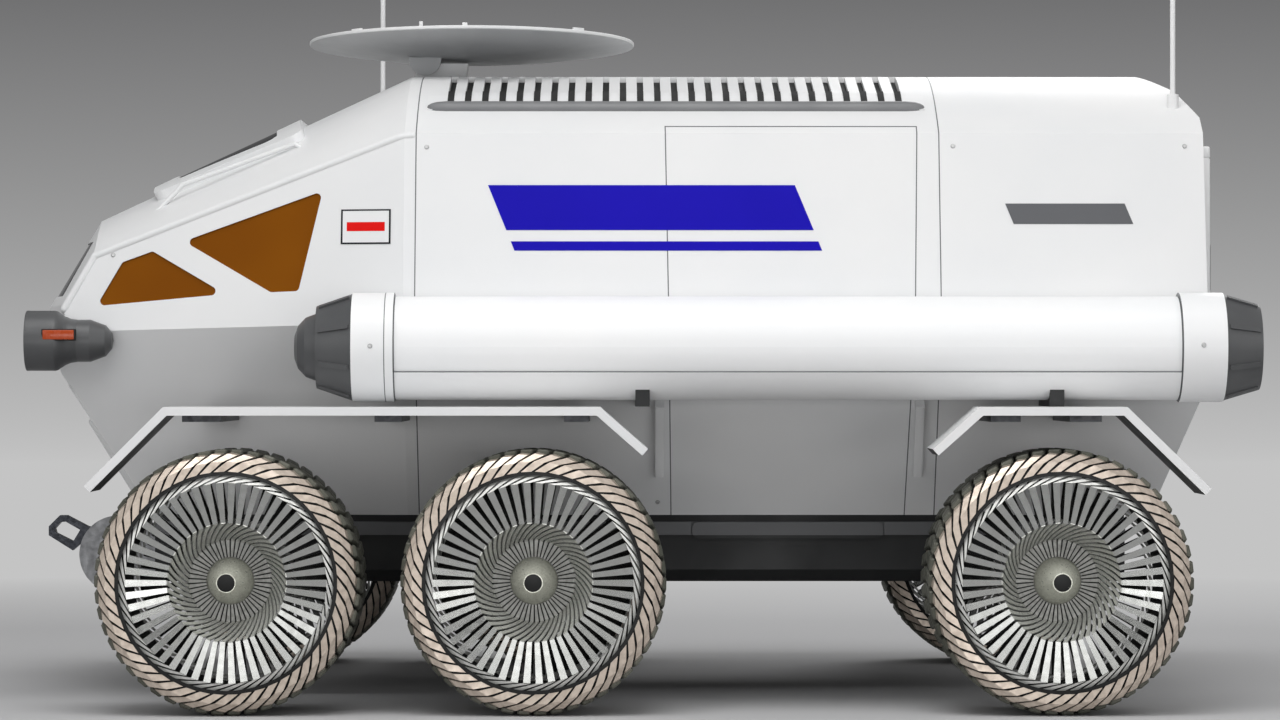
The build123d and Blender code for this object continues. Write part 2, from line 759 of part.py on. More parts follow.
# Suspension arms, each with an eye round the kingpin
eye_low = barrel_half + eye_gap
eye_high = eye_low + eye_height
with BuildPart() as suspension_arms:
    for x in axle_x.values():
        for direction in (1, -1):
            root_z = axle_z + (upper_root if direction == 1 else lower_root)
            low = axle_z + direction * eye_low
            high = axle_z + direction * eye_high
            with BuildSketch(Plane.YZ.offset(x)):
                with BuildLine():
                    Polyline((belly_half, root_z - arm_root_half), (belly_half, root_z + arm_root_half),
                             (kingpin_y - eye_radius, max(low, high)), (kingpin_y, max(low, high)),
                             (kingpin_y, min(low, high)), (kingpin_y - eye_radius, min(low, high)), close=True)
                make_face()
            extrude(amount=arm_half, both=True)
            with Locations((x, kingpin_y, (low + high) / 2)):
                Cylinder(eye_radius, eye_height)
                Cylinder(pin_radius + pin_clearance, eye_height, mode=Mode.SUBTRACT)
    mirror(about=Plane.XZ)
save(suspension_arms, "suspension_arms")


def knuckle(x, side):
    """Kingpin barrel and pin with the stub axle that carries one wheel."""
    with BuildPart() as piece:
        with Locations((x, side * kingpin_y, axle_z)):
            Cylinder(barrel_radius, 2 * barrel_half)
            Cylinder(pin_radius, 2 * eye_high)
        with BuildSketch(Plane.XZ.offset(-side * kingpin_y)):
            with Locations((x, axle_z)):
                Circle(stub_radius)
        extrude(amount=-side * (wheel_mid_y + stub_reach - kingpin_y))
    return piece.part


# One tyre about the origin, its axle along Y and its outer face towards +Y
slant = radians(blade_slant)
blade_reach = wheel_half_width / cos(slant)
tread_reach = tread_half / cos(slant)
tread_height = sqrt(wheel_radius ** 2 - (tread_reach * sin(slant) + blade_width / 2 * cos(slant)) ** 2)
slit_half = slit_floor * tan(pi / blade_count) * cos(slant)
flank_slope = (slit_half - blade_width / 2) / (tread_height - slit_floor)
shoulder_slope = (blade_reach - tread_reach) / (tread_height - shoulder_foot)
core_radius = tyre_inner - blade_width / 2
core_half = slit_half + flank_slope * (slit_floor - core_radius)
core_reach = blade_reach + shoulder_slope * (shoulder_foot - core_radius)
along_blade = Plane(origin=(0, 0, 0), x_dir=(sin(slant), cos(slant), 0), z_dir=(cos(slant), -sin(slant), 0))
across_blade = Plane(origin=(0, 0, 0), x_dir=(cos(slant), -sin(slant), 0), z_dir=(-sin(slant), -cos(slant), 0))
flat_turn = 90 + 180 / tyre_sides  # turns a flat of the tyre's bore to the top
with BuildPart() as blade:
    with BuildSketch(along_blade):
        with BuildLine():
            Polyline((-core_reach, core_radius), (-tread_reach, tread_height), (tread_reach, tread_height),
                     (core_reach, core_radius), close=True)
        make_face()
    extrude(amount=blade_width, both=True)
    with BuildSketch(across_blade):
        with BuildLine():
            Polyline((-core_half, core_radius), (-blade_width / 2, tread_height), (blade_width / 2, tread_height),
                     (core_half, core_radius), close=True)
        make_face()
    extrude(amount=core_reach, both=True, mode=Mode.INTERSECT)
with BuildPart() as tyre:
    add([blade.part.rotate(Axis.Y, 360 * (index + 0.5) / blade_count) for index in range(blade_count)])
    with BuildSketch(Plane.XZ.offset(-wheel_half_width)):
        Circle(wheel_radius)
        RegularPolygon(tyre_inner, tyre_sides, major_radius=False, rotation=flat_turn, mode=Mode.SUBTRACT)
    extrude(amount=2 * wheel_half_width, mode=Mode.INTERSECT)

# The wheel's two funnels back to back with the disc and hub between them, made as one flat segment for each
# flat of the tyre's bore. A segment carries two bars at its outer side and one at its inner side.
bar_root = knee_radius + funnel_wall / 2
bar_lean = atan2(spoke_foot_offset - knee_offset, tyre_inner - bar_root)
bar_length = (tyre_inner + spoke_depth - bar_root) / cos(bar_lean)
bar_plane = Plane(origin=(0, knee_offset, bar_root), x_dir=(-1, 0, 0), z_dir=(0, cos(bar_lean), -sin(bar_lean)))
with BuildPart() as bar:
    with BuildSketch(bar_plane):
        with BuildLine():
            Polyline((-spoke_root_width / 2, 0), (spoke_root_width / 2, 0), (spoke_foot_width / 2, bar_length),
                     (-spoke_foot_width / 2, bar_length), close=True)
        make_face()
    extrude(amount=-spoke_depth)
bar_turn = 180 / blade_count
with BuildPart() as segment:
    with BuildSketch(Plane.YZ):
        with BuildLine():
            Polyline((knee_offset, knee_radius + funnel_wall), (0, throat_radius + funnel_wall),
                     (-knee_offset, knee_radius + funnel_wall), (-knee_offset, knee_radius),
                     (-disc_half, throat_radius), (-disc_half, hub_base_radius), (-hub_inner_reach, hub_base_radius),
                     (-hub_inner_reach, 0), (hub_length, 0), (hub_length, hub_tip_radius),
                     (disc_half, hub_base_radius), (disc_half, throat_radius), (knee_offset, knee_radius), close=True)
        make_face()
    extrude(amount=knee_radius, both=True)
    with BuildSketch(Plane.XZ):
        with BuildLine():
            Polyline((0, 0), (-wheel_radius * tan(pi / tyre_sides), wheel_radius),
                     (wheel_radius * tan(pi / tyre_sides), wheel_radius), close=True)
        make_face()
    extrude(amount=wheel_half_width, both=True, mode=Mode.INTERSECT)
    add([bar.part.rotate(Axis.Y, turn) for turn in (-bar_turn, bar_turn)])
    add(bar.part.mirror(Plane.XZ).rotate(Axis.Y, bar_turn))
    split(bisect_by=Plane.XY.offset(tyre_inner), keep=Keep.BOTTOM)
with BuildPart() as spokes:
    add([segment.part.rotate(Axis.Y, 360 * index / tyre_sides) for index in range(tyre_sides)])
    with BuildSketch(Plane.XZ.offset(-stub_reach - hub_end_gap)):
        Circle(stub_radius + pin_clearance)
    extrude(amount=2 * wheel_half_width, mode=Mode.SUBTRACT)

for axle, x in axle_x.items():
    for side, side_name in side_names.items():
        for template, kind in ((tyre.part, "tyre"), (spokes.part, "spokes")):
            with BuildPart() as wheel_piece:
                shape = template if side == 1 else template.mirror(Plane.XZ)
                add(shape.translate((x, side * wheel_mid_y, axle_z)))
            save(wheel_piece, f"{kind}_{axle}_{side_name}")
        if axle != "middle":
            with BuildPart() as steered:
                add(knuckle(x, side))
            save(steered, f"knuckle_{axle}_{side_name}")

with BuildPart() as middle_knuckles:
    for side in side_names:
        add(knuckle(axle_x["middle"], side))
save(middle_knuckles, "middle_knuckles")
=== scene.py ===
from math import asin, atan2, cos, pi, radians, sin, sqrt

import bmesh
import bpy
from mathutils import Matrix, Vector


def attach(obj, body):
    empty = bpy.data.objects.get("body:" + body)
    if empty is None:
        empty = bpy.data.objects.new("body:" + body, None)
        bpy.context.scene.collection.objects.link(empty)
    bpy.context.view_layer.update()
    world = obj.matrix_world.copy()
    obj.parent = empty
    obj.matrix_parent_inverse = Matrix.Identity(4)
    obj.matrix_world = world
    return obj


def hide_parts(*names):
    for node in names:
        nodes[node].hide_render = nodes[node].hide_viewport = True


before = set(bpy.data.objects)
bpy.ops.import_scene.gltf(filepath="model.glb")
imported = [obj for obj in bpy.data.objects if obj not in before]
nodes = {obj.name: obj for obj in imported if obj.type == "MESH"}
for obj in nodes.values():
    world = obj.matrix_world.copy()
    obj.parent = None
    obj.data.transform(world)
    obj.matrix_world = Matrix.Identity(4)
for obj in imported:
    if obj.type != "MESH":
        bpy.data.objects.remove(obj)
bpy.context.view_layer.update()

# Pressurised rover on six wire-metal wheels: finishes, wheels, trim, studio
print("frame loaded")


# Finishes: small node helpers first
def tone(red, green, blue):
    # a colour given from 0 to 255 as the renderer's own values
    shares = [value / 255 for value in (red, green, blue)]
    return [share / 12.92 if share < 0.04 else ((share + 0.055) / 1.055) ** 2.4 for share in shares] + [1.0]


def startFinish(name):
    material = bpy.data.materials.new(name)
    material.use_nodes = True
    tree = material.node_tree
    place = tree.nodes.new("ShaderNodeTexCoord").outputs["Object"]
    return material, tree, tree.nodes["Principled BSDF"], place


def reckon(tree, operation, *values):
    node = tree.nodes.new("ShaderNodeMath")
    node.operation = operation
    for socket, value in zip(node.inputs, values):
        if isinstance(value, (int, float)):
            socket.default_value = value
        else:
            tree.links.new(value, socket)
    return node.outputs[0]


def mottle(tree, place, scale, detail=4.0, stretch=(1, 1, 1)):
    mapping = tree.nodes.new("ShaderNodeMapping")
    mapping.inputs["Scale"].default_value = stretch
    noise = tree.nodes.new("ShaderNodeTexNoise")
    noise.inputs["Scale"].default_value = scale
    noise.inputs["Detail"].default_value = detail
    tree.links.new(place, mapping.inputs["Vector"])
    tree.links.new(mapping.outputs[0], noise.inputs["Vector"])
    return noise.outputs[0]


def spread(tree, value, low, high, fromLow=0.3, fromHigh=0.7):
    node = tree.nodes.new("ShaderNodeMapRange")
    for socket, amount in zip(list(node.inputs)[1:5], (fromLow, fromHigh, low, high)):
        socket.default_value = amount
    tree.links.new(value, node.inputs[0])
    return node.outputs[0]


def mixTones(tree, share, first, second):
    node = tree.nodes.new("ShaderNodeMix")
    node.data_type = "RGBA"
    tree.links.new(share, node.inputs[0])
    for socket, value in ((node.inputs[6], first), (node.inputs[7], second)):
        if isinstance(value, list):
            socket.default_value = value
        else:
            tree.links.new(value, socket)
    return node.outputs[2]


def relief(tree, shader, height, strength, distance):
    bump = tree.nodes.new("ShaderNodeBump")
    bump.inputs["Strength"].default_value = strength
    bump.inputs["Distance"].default_value = distance
    tree.links.new(height, bump.inputs["Height"])
    tree.links.new(bump.outputs[0], shader.inputs["Normal"])


def splitParts(tree, vector):
    # its x, y and z
    node = tree.nodes.new("ShaderNodeSeparateXYZ")
    tree.links.new(vector, node.inputs[0])
    return node.outputs


def lineShare(tree, place, line):
    # 1 on a thin line over the surface, upright where it is given at x, level where it is given at z
    x, y, z = splitParts(tree, place)
    along, across = (z, x) if "x" in line else (x, z)
    start = line.get("x", line.get("z"))
    lean = reckon(tree, "MULTIPLY", reckon(tree, "SUBTRACT", along, line["from"]), line.get("lean", 0.0))
    offset = reckon(tree, "ABSOLUTE", reckon(tree, "SUBTRACT", reckon(tree, "SUBTRACT", across, start), lean))
    near = reckon(tree, "LESS_THAN", offset, line["half"])
    over = reckon(tree, "GREATER_THAN", along, line["from"])
    under = reckon(tree, "LESS_THAN", along, line["to"])
    outside = reckon(tree, "GREATER_THAN", reckon(tree, "ABSOLUTE", y), line.get("outside", 0.0))
    return reckon(tree, "MULTIPLY", reckon(tree, "MULTIPLY", near, over),
                  reckon(tree, "MULTIPLY", under, outside))


surface = {
    "gap": tone(96, 98, 100),  # a panel gap's colour
    "downward": 0.1,  # a face whose normal's z is below this looks down
    "coat": 0.15,
    "glassCoat": 0.05,
    "peel": 0.06,
    "paintDepth": 0.002,
    "grainDepth": 0.001,
    "glassRelief": 0.02,
}


def paint(name, look):
    # sprayed paint with a faint orange peel, and panel gaps where the look lists them
    material, tree, shader, place = startFinish(name)
    broad = mottle(tree, place, scale=1.3, detail=3.0)
    fine = mottle(tree, place, look.get("fine", 140.0), detail=3.0)
    colour = mixTones(tree, spread(tree, broad, 0.0, 1.0), look["tone"], look["shade"])
    height = spread(tree, fine, low=0.4, high=0.6)
    # inside the given y, faces that look down take the given dark tone
    if "darkBelow" in look:
        edgeY, belowTone = look["darkBelow"]
        inside = reckon(tree, "LESS_THAN", reckon(tree, "ABSOLUTE", splitParts(tree, place)[1]), edgeY)
        facing = splitParts(tree, place.node.outputs["Normal"])
        below = reckon(tree, "LESS_THAN", facing[2], surface["downward"])
        colour = mixTones(tree, reckon(tree, "MULTIPLY", inside, below), colour, belowTone)
    for line in look.get("lines", []):
        share = lineShare(tree, place, line)
        colour = mixTones(tree, share, colour, surface["gap"])
        height = reckon(tree, "SUBTRACT", height, share)
    tree.links.new(colour, shader.inputs["Base Color"])
    tree.links.new(spread(tree, mottle(tree, place, scale=9.0), *look["rough"]), shader.inputs["Roughness"])
    shader.inputs["Specular IOR Level"].default_value = look["gloss"]
    shader.inputs["Coat Weight"].default_value = look.get("coat", 0.0)
    shader.inputs["Coat Roughness"].default_value = surface["coat"]
    relief(tree, shader, height, surface["peel"], surface["paintDepth"])
    return material


def brushed(name, look):
    # metal brushed along one direction
    material, tree, shader, place = startFinish(name)
    grain = mottle(tree, place, look["grain"], detail=5.0, stretch=look["stretch"])
    broad = mottle(tree, place, scale=5.0, detail=2.0)
    share = reckon(tree, "MULTIPLY", spread(tree, grain, 0.0, 1.0), spread(tree, broad, low=0.5, high=1.0))
    tree.links.new(mixTones(tree, share, look["tone"], look["shade"]), shader.inputs["Base Color"])
    tree.links.new(spread(tree, grain, *look["rough"]), shader.inputs["Roughness"])
    shader.inputs["Metallic"].default_value = look["metal"]
    relief(tree, shader, grain, look.get("depth", 0.15), surface["grainDepth"])
    return material


def moulded(name, look):
    # moulded plastic or rubber with a fine pebble grain
    material, tree, shader, place = startFinish(name)
    cells = tree.nodes.new("ShaderNodeTexVoronoi")
    cells.inputs["Scale"].default_value = look["grain"]
    tree.links.new(place, cells.inputs["Vector"])
    broad = mottle(tree, place, scale=3.0, detail=4.0)
    colour = mixTones(tree, spread(tree, broad, 0.0, 1.0), look["tone"], look["shade"])
    if "band" in look:
        z = splitParts(tree, place)[2]
        bandLow, bandHigh, bandTone = look["band"]
        inside = reckon(tree, "MULTIPLY", reckon(tree, "GREATER_THAN", z, bandLow),
                        reckon(tree, "LESS_THAN", z, bandHigh))
        colour = mixTones(tree, inside, colour, bandTone)
    tree.links.new(colour, shader.inputs["Base Color"])
    tree.links.new(spread(tree, broad, *look["rough"]), shader.inputs["Roughness"])
    shader.inputs["Metallic"].default_value = look.get("metal", 0.0)
    relief(tree, shader, cells.outputs[0], look.get("depth", 0.1), surface["grainDepth"])
    return material


def tinted(name, look):
    # coated window glass
    material, tree, shader, place = startFinish(name)
    broad = mottle(tree, place, scale=1.6, detail=2.0)
    colour = mixTones(tree, spread(tree, broad, 0.0, 1.0), look["tone"], look["shade"])
    tree.links.new(colour, shader.inputs["Base Color"])
    tree.links.new(spread(tree, mottle(tree, place, scale=30.0), *look["rough"]), shader.inputs["Roughness"])
    shader.inputs["Specular IOR Level"].default_value = look.get("gloss", 0.5)
    shader.inputs["Coat Weight"].default_value = look.get("coat", 0.0)
    shader.inputs["Coat Roughness"].default_value = surface["glassCoat"]
    relief(tree, shader, broad, surface["glassRelief"], surface["paintDepth"])
    return material


# Panel gaps: places in metres, the lean in x per metre of height
bodyLines = {
    "frontSeam": {"x": 1.041, "half": 0.0028, "from": 0.5, "to": 3.3},
    "rearSeam": {"x": -1.503, "half": 0.0028, "from": 0.5, "to": 3.3},
    "hatchFront": {"x": -0.203, "lean": 0.0168, "half": 0.0028, "from": 0.907, "to": 2.814, "outside": 1.0},
    "hatchRear": {"x": -1.356, "lean": -0.0215, "half": 0.0028, "from": 0.907, "to": 2.814, "outside": 1.0},
    "hatchTop": {"z": 2.811, "half": 0.0026, "from": -1.397, "to": -0.171, "outside": 1.0},
}
tubeLines = {
    "frontLip": {"x": 1.165, "half": 0.0022, "from": 1.0, "to": 2.2},
    "frontRing": {"x": 1.121, "half": 0.0030, "from": 1.0, "to": 2.2},
    "rearRing": {"x": -2.613, "half": 0.0034, "from": 1.0, "to": 2.2},
    "troughEdge": {"z": 1.6125, "half": 0.0026, "from": -2.615, "to": 1.123},
}
fenderEdge = 2.486  # inside this the fenders are dark on their downward faces
whitePaint = paint("white paint", {
    "tone": tone(230, 230, 230), "shade": tone(224, 225, 226), "rough": (0.36, 0.46), "coat": 0.1,
    "gloss": 0.3, "lines": list(bodyLines.values())})
plainWhite = paint("plain white paint", {
    "tone": tone(232, 232, 232), "shade": tone(226, 227, 228), "rough": (0.34, 0.44), "coat": 0.1,
    "gloss": 0.3})
fenderPaint = paint("fender paint", {
    "tone": tone(232, 232, 232), "shade": tone(226, 227, 228), "rough": (0.36, 0.46), "gloss": 0.25,
    "darkBelow": (fenderEdge, tone(26, 27, 28))})
tubePaint = paint("tube paint", {
    "tone": tone(240, 240, 240), "shade": tone(236, 237, 238), "rough": (0.34, 0.42), "coat": 0.1,
    "gloss": 0.3, "lines": list(tubeLines.values())})
rollFilm = paint("roll film", {
    "tone": tone(244, 244, 244), "shade": tone(240, 241, 242), "rough": (0.3, 0.38), "fine": 60.0,
    "gloss": 0.35, "lines": list(tubeLines.values())})
capPlastic = moulded("cap plastic", {
    "tone": tone(84, 85, 86), "shade": tone(70, 71, 73), "rough": (0.34, 0.46), "grain": 420.0})
railPlastic = moulded("rail plastic", {
    "tone": tone(124, 125, 126), "shade": tone(112, 113, 115), "rough": (0.36, 0.46), "grain": 420.0})
sillBand = (0.807, 0.873, tone(96, 97, 99))  # a lighter band along the belly: from z, to z, its tone
bellyPlastic = moulded("belly plastic", {
    "tone": tone(32, 33, 34), "shade": tone(26, 27, 28), "rough": (0.5, 0.65), "grain": 300.0,
    "band": sillBand})
windowFilm = tinted("window film", {
    "tone": tone(132, 76, 2), "shade": tone(120, 66, 1), "rough": (0.34, 0.42), "gloss": 0.06})
windowSeal = moulded("window seal", {
    "tone": tone(46, 32, 18), "shade": tone(36, 26, 16), "rough": (0.5, 0.6), "grain": 400.0})
screenGlass = tinted("screen glass", {
    "tone": tone(14, 14, 16), "shade": tone(8, 8, 10), "rough": (0.08, 0.14), "gloss": 0.3})
lensGlass = tinted("lens glass", {
    "tone": tone(205, 212, 220), "shade": tone(180, 190, 200), "rough": (0.05, 0.1), "coat": 0.3})
dishPaint = paint("dish paint", {
    "tone": tone(190, 191, 192), "shade": tone(180, 182, 184), "rough": (0.34, 0.44), "gloss": 0.3})
winchMetal = brushed("winch metal", {
    "tone": tone(150, 151, 153), "shade": tone(112, 113, 116), "grain": 30.0, "stretch": (1, 12, 1),
    "rough": (0.35, 0.5), "metal": 0.6})
hookSteel = brushed("hook steel", {
    "tone": tone(66, 68, 74), "shade": tone(44, 46, 52), "grain": 60.0, "stretch": (1, 6, 1),
    "rough": (0.3, 0.45), "metal": 0.7})
darkSteel = brushed("dark steel", {
    "tone": tone(78, 79, 82), "shade": tone(52, 53, 56), "grain": 45.0, "stretch": (1, 6, 1),
    "rough": (0.4, 0.55), "metal": 0.7})
bladeMetal = brushed("blade metal", {
    "tone": tone(222, 208, 194), "shade": tone(182, 168, 154), "grain": 26.0, "stretch": (1, 3, 1),
    "rough": (0.3, 0.42), "metal": 0.55})
barMetal = brushed("bar metal", {
    "tone": tone(196, 197, 194), "shade": tone(182, 183, 179), "grain": 18.0, "stretch": (1, 4, 1),
    "rough": (0.2, 0.26), "metal": 0.94, "depth": 0.01})
swirlMetal = brushed("swirl metal", {
    "tone": tone(222, 223, 218), "shade": tone(196, 197, 190), "grain": 30.0, "stretch": (1, 4, 1),
    "rough": (0.26, 0.34), "metal": 0.5, "depth": 0.03})
foldMetal = brushed("fold metal", {
    "tone": tone(226, 226, 222), "shade": tone(196, 197, 192), "grain": 40.0, "stretch": (1, 8, 1),
    "rough": (0.28, 0.38), "metal": 0.5, "depth": 0.06})
discMetal = brushed("disc metal", {
    "tone": tone(158, 158, 154), "shade": tone(130, 130, 126), "grain": 60.0, "stretch": (1, 4, 1),
    "rough": (0.35, 0.5), "metal": 0.45})
hubMetal = brushed("hub metal", {
    "tone": tone(226, 227, 214), "shade": tone(190, 190, 176), "grain": 90.0, "stretch": (1, 0.2, 1),
    "rough": (0.26, 0.36), "metal": 0.4})
padMetal = moulded("pad mesh", {
    "tone": tone(112, 112, 102), "shade": tone(62, 64, 56), "rough": (0.5, 0.7), "grain": 160.0,
    "depth": 0.6, "metal": 0.3})
blackRubber = moulded("black rubber", {
    "tone": tone(16, 17, 17), "shade": tone(10, 11, 11), "rough": (0.6, 0.8), "grain": 260.0})
blueBand = paint("blue band", {
    "tone": tone(20, 4, 172), "shade": tone(16, 3, 164), "rough": (0.4, 0.48), "gloss": 0.1})
greyBand = paint("grey band", {
    "tone": tone(104, 105, 108), "shade": tone(94, 95, 98), "rough": (0.4, 0.48), "gloss": 0.1})
darkLine = paint("dark line", {
    "tone": tone(40, 42, 46), "shade": tone(32, 34, 38), "rough": (0.45, 0.55), "gloss": 0.1})
redBar = paint("red bar", {
    "tone": tone(228, 20, 14), "shade": tone(216, 16, 12), "rough": (0.4, 0.48), "gloss": 0.1})
orangeLens = tinted("orange lens", {
    "tone": tone(186, 74, 20), "shade": tone(160, 56, 12), "rough": (0.2, 0.3)})
steelBolt = brushed("steel bolt", {
    "tone": tone(190, 190, 190), "shade": tone(160, 160, 160), "grain": 200.0, "stretch": (1, 1, 1),
    "rough": (0.3, 0.4), "metal": 0.7})
print("finishes made")

cadFinishes = {
    whitePaint: ["nose_shell", "mid_walls", "mid_roof", "rear_shell", "side_hatches"],
    plainWhite: ["rear_door", "hood_panel", "antennas", "dish_mast", "cabin_floor"],
    fenderPaint: ["fenders"],
    tubePaint: ["tube_housings"],
    rollFilm: ["tube_rolls"],
    capPlastic: ["tube_end_caps", "headlights"],
    railPlastic: ["roof_rails"],
    bellyPlastic: ["belly", "step_left", "step_right", "tube_brackets"],
    windowFilm: ["side_windows"],
    screenGlass: ["front_glass"],
    lensGlass: ["headlight_lenses"],
    dishPaint: ["dish"],
    winchMetal: ["winch"],
    hookSteel: ["tow_hook"],
    darkSteel: ["suspension_arms", "middle_knuckles", "knuckle_front_left", "knuckle_front_right",
                "knuckle_rear_left", "knuckle_rear_right", "fender_arms"],
}
for finish, names in cadFinishes.items():
    for name in names:
        for cadSlot in nodes[name].material_slots:
            cadSlot.material = finish
print("finishes on the frame")


# Making pieces
weld = 0.00002  # points nearer than this become one


def addObject(name, data):
    made = bpy.data.objects.new(name, data)
    bpy.context.scene.collection.objects.link(made)
    return made


def closeMesh(bm, name):
    mesh = bpy.data.meshes.new(name)
    bm.to_mesh(mesh)
    bm.free()
    return mesh


def makePiece(bm, name, finish, body, sharp=32.0):
    bmesh.ops.remove_doubles(bm, verts=bm.verts[:], dist=weld)
    bmesh.ops.recalc_face_normals(bm, faces=bm.faces[:])
    return placeMesh(closeMesh(bm, name), name, finish, body, sharp)


def placeMesh(mesh, name, finish, body, sharp):
    # edges with a larger angle than sharp stay sharp
    piece = addObject(name, mesh)
    mesh.materials.clear()
    mesh.materials.append(finish)
    mesh.shade_smooth()
    mesh.set_sharp_from_angle(angle=radians(sharp))
    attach(piece, body)
    return piece


def onlyVerts(items):
    return [item for item in items if isinstance(item, bmesh.types.BMVert)]


def toSide(bm, verts, side):
    # mirrors them where the side is -1, the right one
    if side < 0:
        bmesh.ops.scale(bm, vec=(1, -1, 1), verts=verts)


def roundEdges(bm, edges, offset, segments):
    return bmesh.ops.bevel(bm, geom=edges, offset=offset, offset_type="OFFSET", segments=segments,
                           profile=0.5, affect="EDGES", material=-1)


def spinPoints(bm, points, axis, steps, centre=(0, 0, 0)):
    # a solid of revolution from the points of a closed outline
    verts = [bm.verts.new(point) for point in points]
    edges = [bm.edges.new((verts[index - 1], verts[index])) for index in range(len(verts))]
    bmesh.ops.spin(bm, geom=verts + edges, cent=centre, axis=axis, dvec=(0, 0, 0),
                   angle=2 * pi, steps=steps, use_merge=True, use_duplicate=False)


def spinOutline(bm, outline, steps):
    # about Y, from an outline of radius and y
    spinPoints(bm, [(radius, y, 0) for radius, y in outline], (0, 1, 0), steps)
    bmesh.ops.remove_doubles(bm, verts=bm.verts[:], dist=weld)


def ringPoint(turn, radius, y):
    return Vector((radius * sin(turn), y, radius * cos(turn)))


def layStrip(bm, stations, turn, lift=0.0):
    # one sheet strip on the wheel through its stations: radius, y, shift and half width in degrees;
    # the lift raises one edge of a blade over its neighbour
    made = bmesh.ops.create_grid(bm, x_segments=len(stations) - 1, y_segments=1, size=1.0)
    for vert in made["verts"]:
        radius, y, shift, half = stations[round((vert.co.x + 1) / 2 * (len(stations) - 1))]
        roundRadius, roundY = wheel["roundAbout"]
        outward = Vector((radius - roundRadius, max(abs(y) - roundY, 0.0))).normalized() * lift * vert.co.y
        y += outward.y if y > 0 else -outward.y
        vert.co = ringPoint(turn - radians(shift) + radians(half) * vert.co.y, radius + outward.x, y)


# Wheels: one set of meshes about the origin, its axle along Y and its outer face towards +Y
wheel = {
    "count": 50,
    "middleY": 2.190,
    "axleZ": 0.625,
    "axleX": {"front": 1.890, "middle": 0.455, "rear": -2.020},
    "roundAbout": (0.5, 0.28),  # the blades curve outward from this radius and y
    "bladeSheet": 0.005,
    "foldSheet": 0.003,
    "barSheet": 0.012,
    "swirlSheet": 0.006,
    "discBarSheet": 0.005,
    "steps": 100,
}
blade = {
    "outer": [(0.521, 0.397, 0.0, 2.65), (0.567, 0.386, 6.5, 2.4), (0.602, 0.348, 13.5, 2.1),
              (0.608, 0.300, 15.0, 2.0)],
    "middle": (0.609, 0.0, 18.0, 1.9),
    "lift": 0.0036,
}
pad = {"rows": [(0.245, 15.6), (0.088, 17.0)], "size": (0.060, 0.130, 0.026), "top": 0.6236, "edge": 0.007,
       "lean": 7.0}
carcass = [(0.504, 0.366), (0.512, 0.384), (0.557, 0.372), (0.592, 0.336), (0.599, 0.292), (0.600, 0.0)]
rimRing = [(0.503, 0.360), (0.503, 0.398), (0.520, 0.394), (0.520, 0.360)]
fold = [(0.470, 0.398, 0.0, 2.2), (0.504, 0.384, 12.0, 2.2)]
spokeBar = [(0.282, 0.334, 0.0, 2.35), (0.470, 0.398, 0.0, 2.05)]
swirl = [(0.200, 0.104, -22.0, 2.4), (0.221, 0.161, -16.5, 2.3), (0.241, 0.218, -11.0, 2.2),
         (0.262, 0.275, -5.5, 2.1), (0.283, 0.332, 0.0, 2.1)]
discBar = [(0.112, 0.100, -22.0, 2.1), (0.202, 0.100, -22.0, 2.6)]
backSwirl = [(0.200, -0.018, -22.0, 2.9), (0.221, -0.100, -16.5, 2.7), (0.241, -0.180, -11.0, 2.5),
             (0.262, -0.260, -5.5, 2.3), (0.283, -0.338, 0.0, 2.2)]
backDiscBar = [(0.112, -0.017, -22.0, 2.1), (0.202, -0.017, -22.0, 2.6)]
hub = {
    "outline": [(0.0, 0.384), (0.0455, 0.384), (0.0475, 0.381), (0.108, 0.108), (0.112, 0.098),
                (0.112, -0.058), (0.0505, -0.058), (0.0505, 0.092), (0.0, 0.092)],
    "plates": [(0.090, 0.078), (0.0, -0.010)],
    "plateRadii": (0.100, 0.204),
    "cap": [(0.0, 0.396), (0.028, 0.393), (0.0415, 0.386), (0.0415, 0.378), (0.0, 0.378)],
    "steps": 64,
}


def mirrored(stations):
    return [(radius, -y, shift, half) for radius, y, shift, half in stations]


def stripSet(stationLists, sheet, lift=0.0):
    # every unit of the wheel's ring, as sheet metal
    bm = bmesh.new()
    for stations in stationLists:
        for index in range(wheel["count"]):
            layStrip(bm, stations, 2 * pi * (index + 0.5) / wheel["count"], lift)
    bmesh.ops.recalc_face_normals(bm, faces=bm.faces[:])
    bmesh.ops.solidify(bm, geom=bm.faces[:] + bm.edges[:] + bm.verts[:], thickness=sheet)
    return bm


def padSet():
    bm = bmesh.new()
    width, length, height = pad["size"]
    for y, shift in pad["rows"]:
        for side in (1, -1):
            for index in range(wheel["count"]):
                verts = bmesh.ops.create_cube(bm, size=1.0)["verts"]
                bmesh.ops.scale(bm, vec=(width, length, height), verts=verts)
                edges = list({edge for vert in verts for edge in vert.link_edges})
                bevelled = roundEdges(bm, edges, pad["edge"], 1)
                verts = list({vert for face in bevelled["faces"] for vert in face.verts})
                turn = 2 * pi * (index + 0.5) / wheel["count"] - radians(shift)
                place = (Matrix.Rotation(turn, 4, "Y")
                         @ Matrix.Translation((0, side * y, pad["top"] - height / 2))
                         @ Matrix.Rotation(radians(-side * pad["lean"]), 4, "Z"))
                bmesh.ops.transform(bm, matrix=place, verts=verts)
    return bm


bladePath = blade["outer"] + [blade["middle"]] + mirrored(blade["outer"])[::-1]
ringOutline = carcass + [(radius, -y) for radius, y in carcass[::-1][1:]]
carcassBm = bmesh.new()
spinOutline(carcassBm, ringOutline, wheel["steps"])
for sign in (1, -1):
    spinOutline(carcassBm, [(radius, sign * y) for radius, y in rimRing], wheel["steps"])
hubBm = bmesh.new()
spinOutline(hubBm, hub["outline"], hub["steps"])
plateBm = bmesh.new()
plateIn, plateOut = hub["plateRadii"]
for front, back in hub["plates"]:
    spinOutline(plateBm, [(plateIn, front), (plateOut, front), (plateOut, back), (plateIn, back)],
                wheel["steps"])
capBm = bmesh.new()
spinOutline(capBm, hub["cap"], hub["steps"])
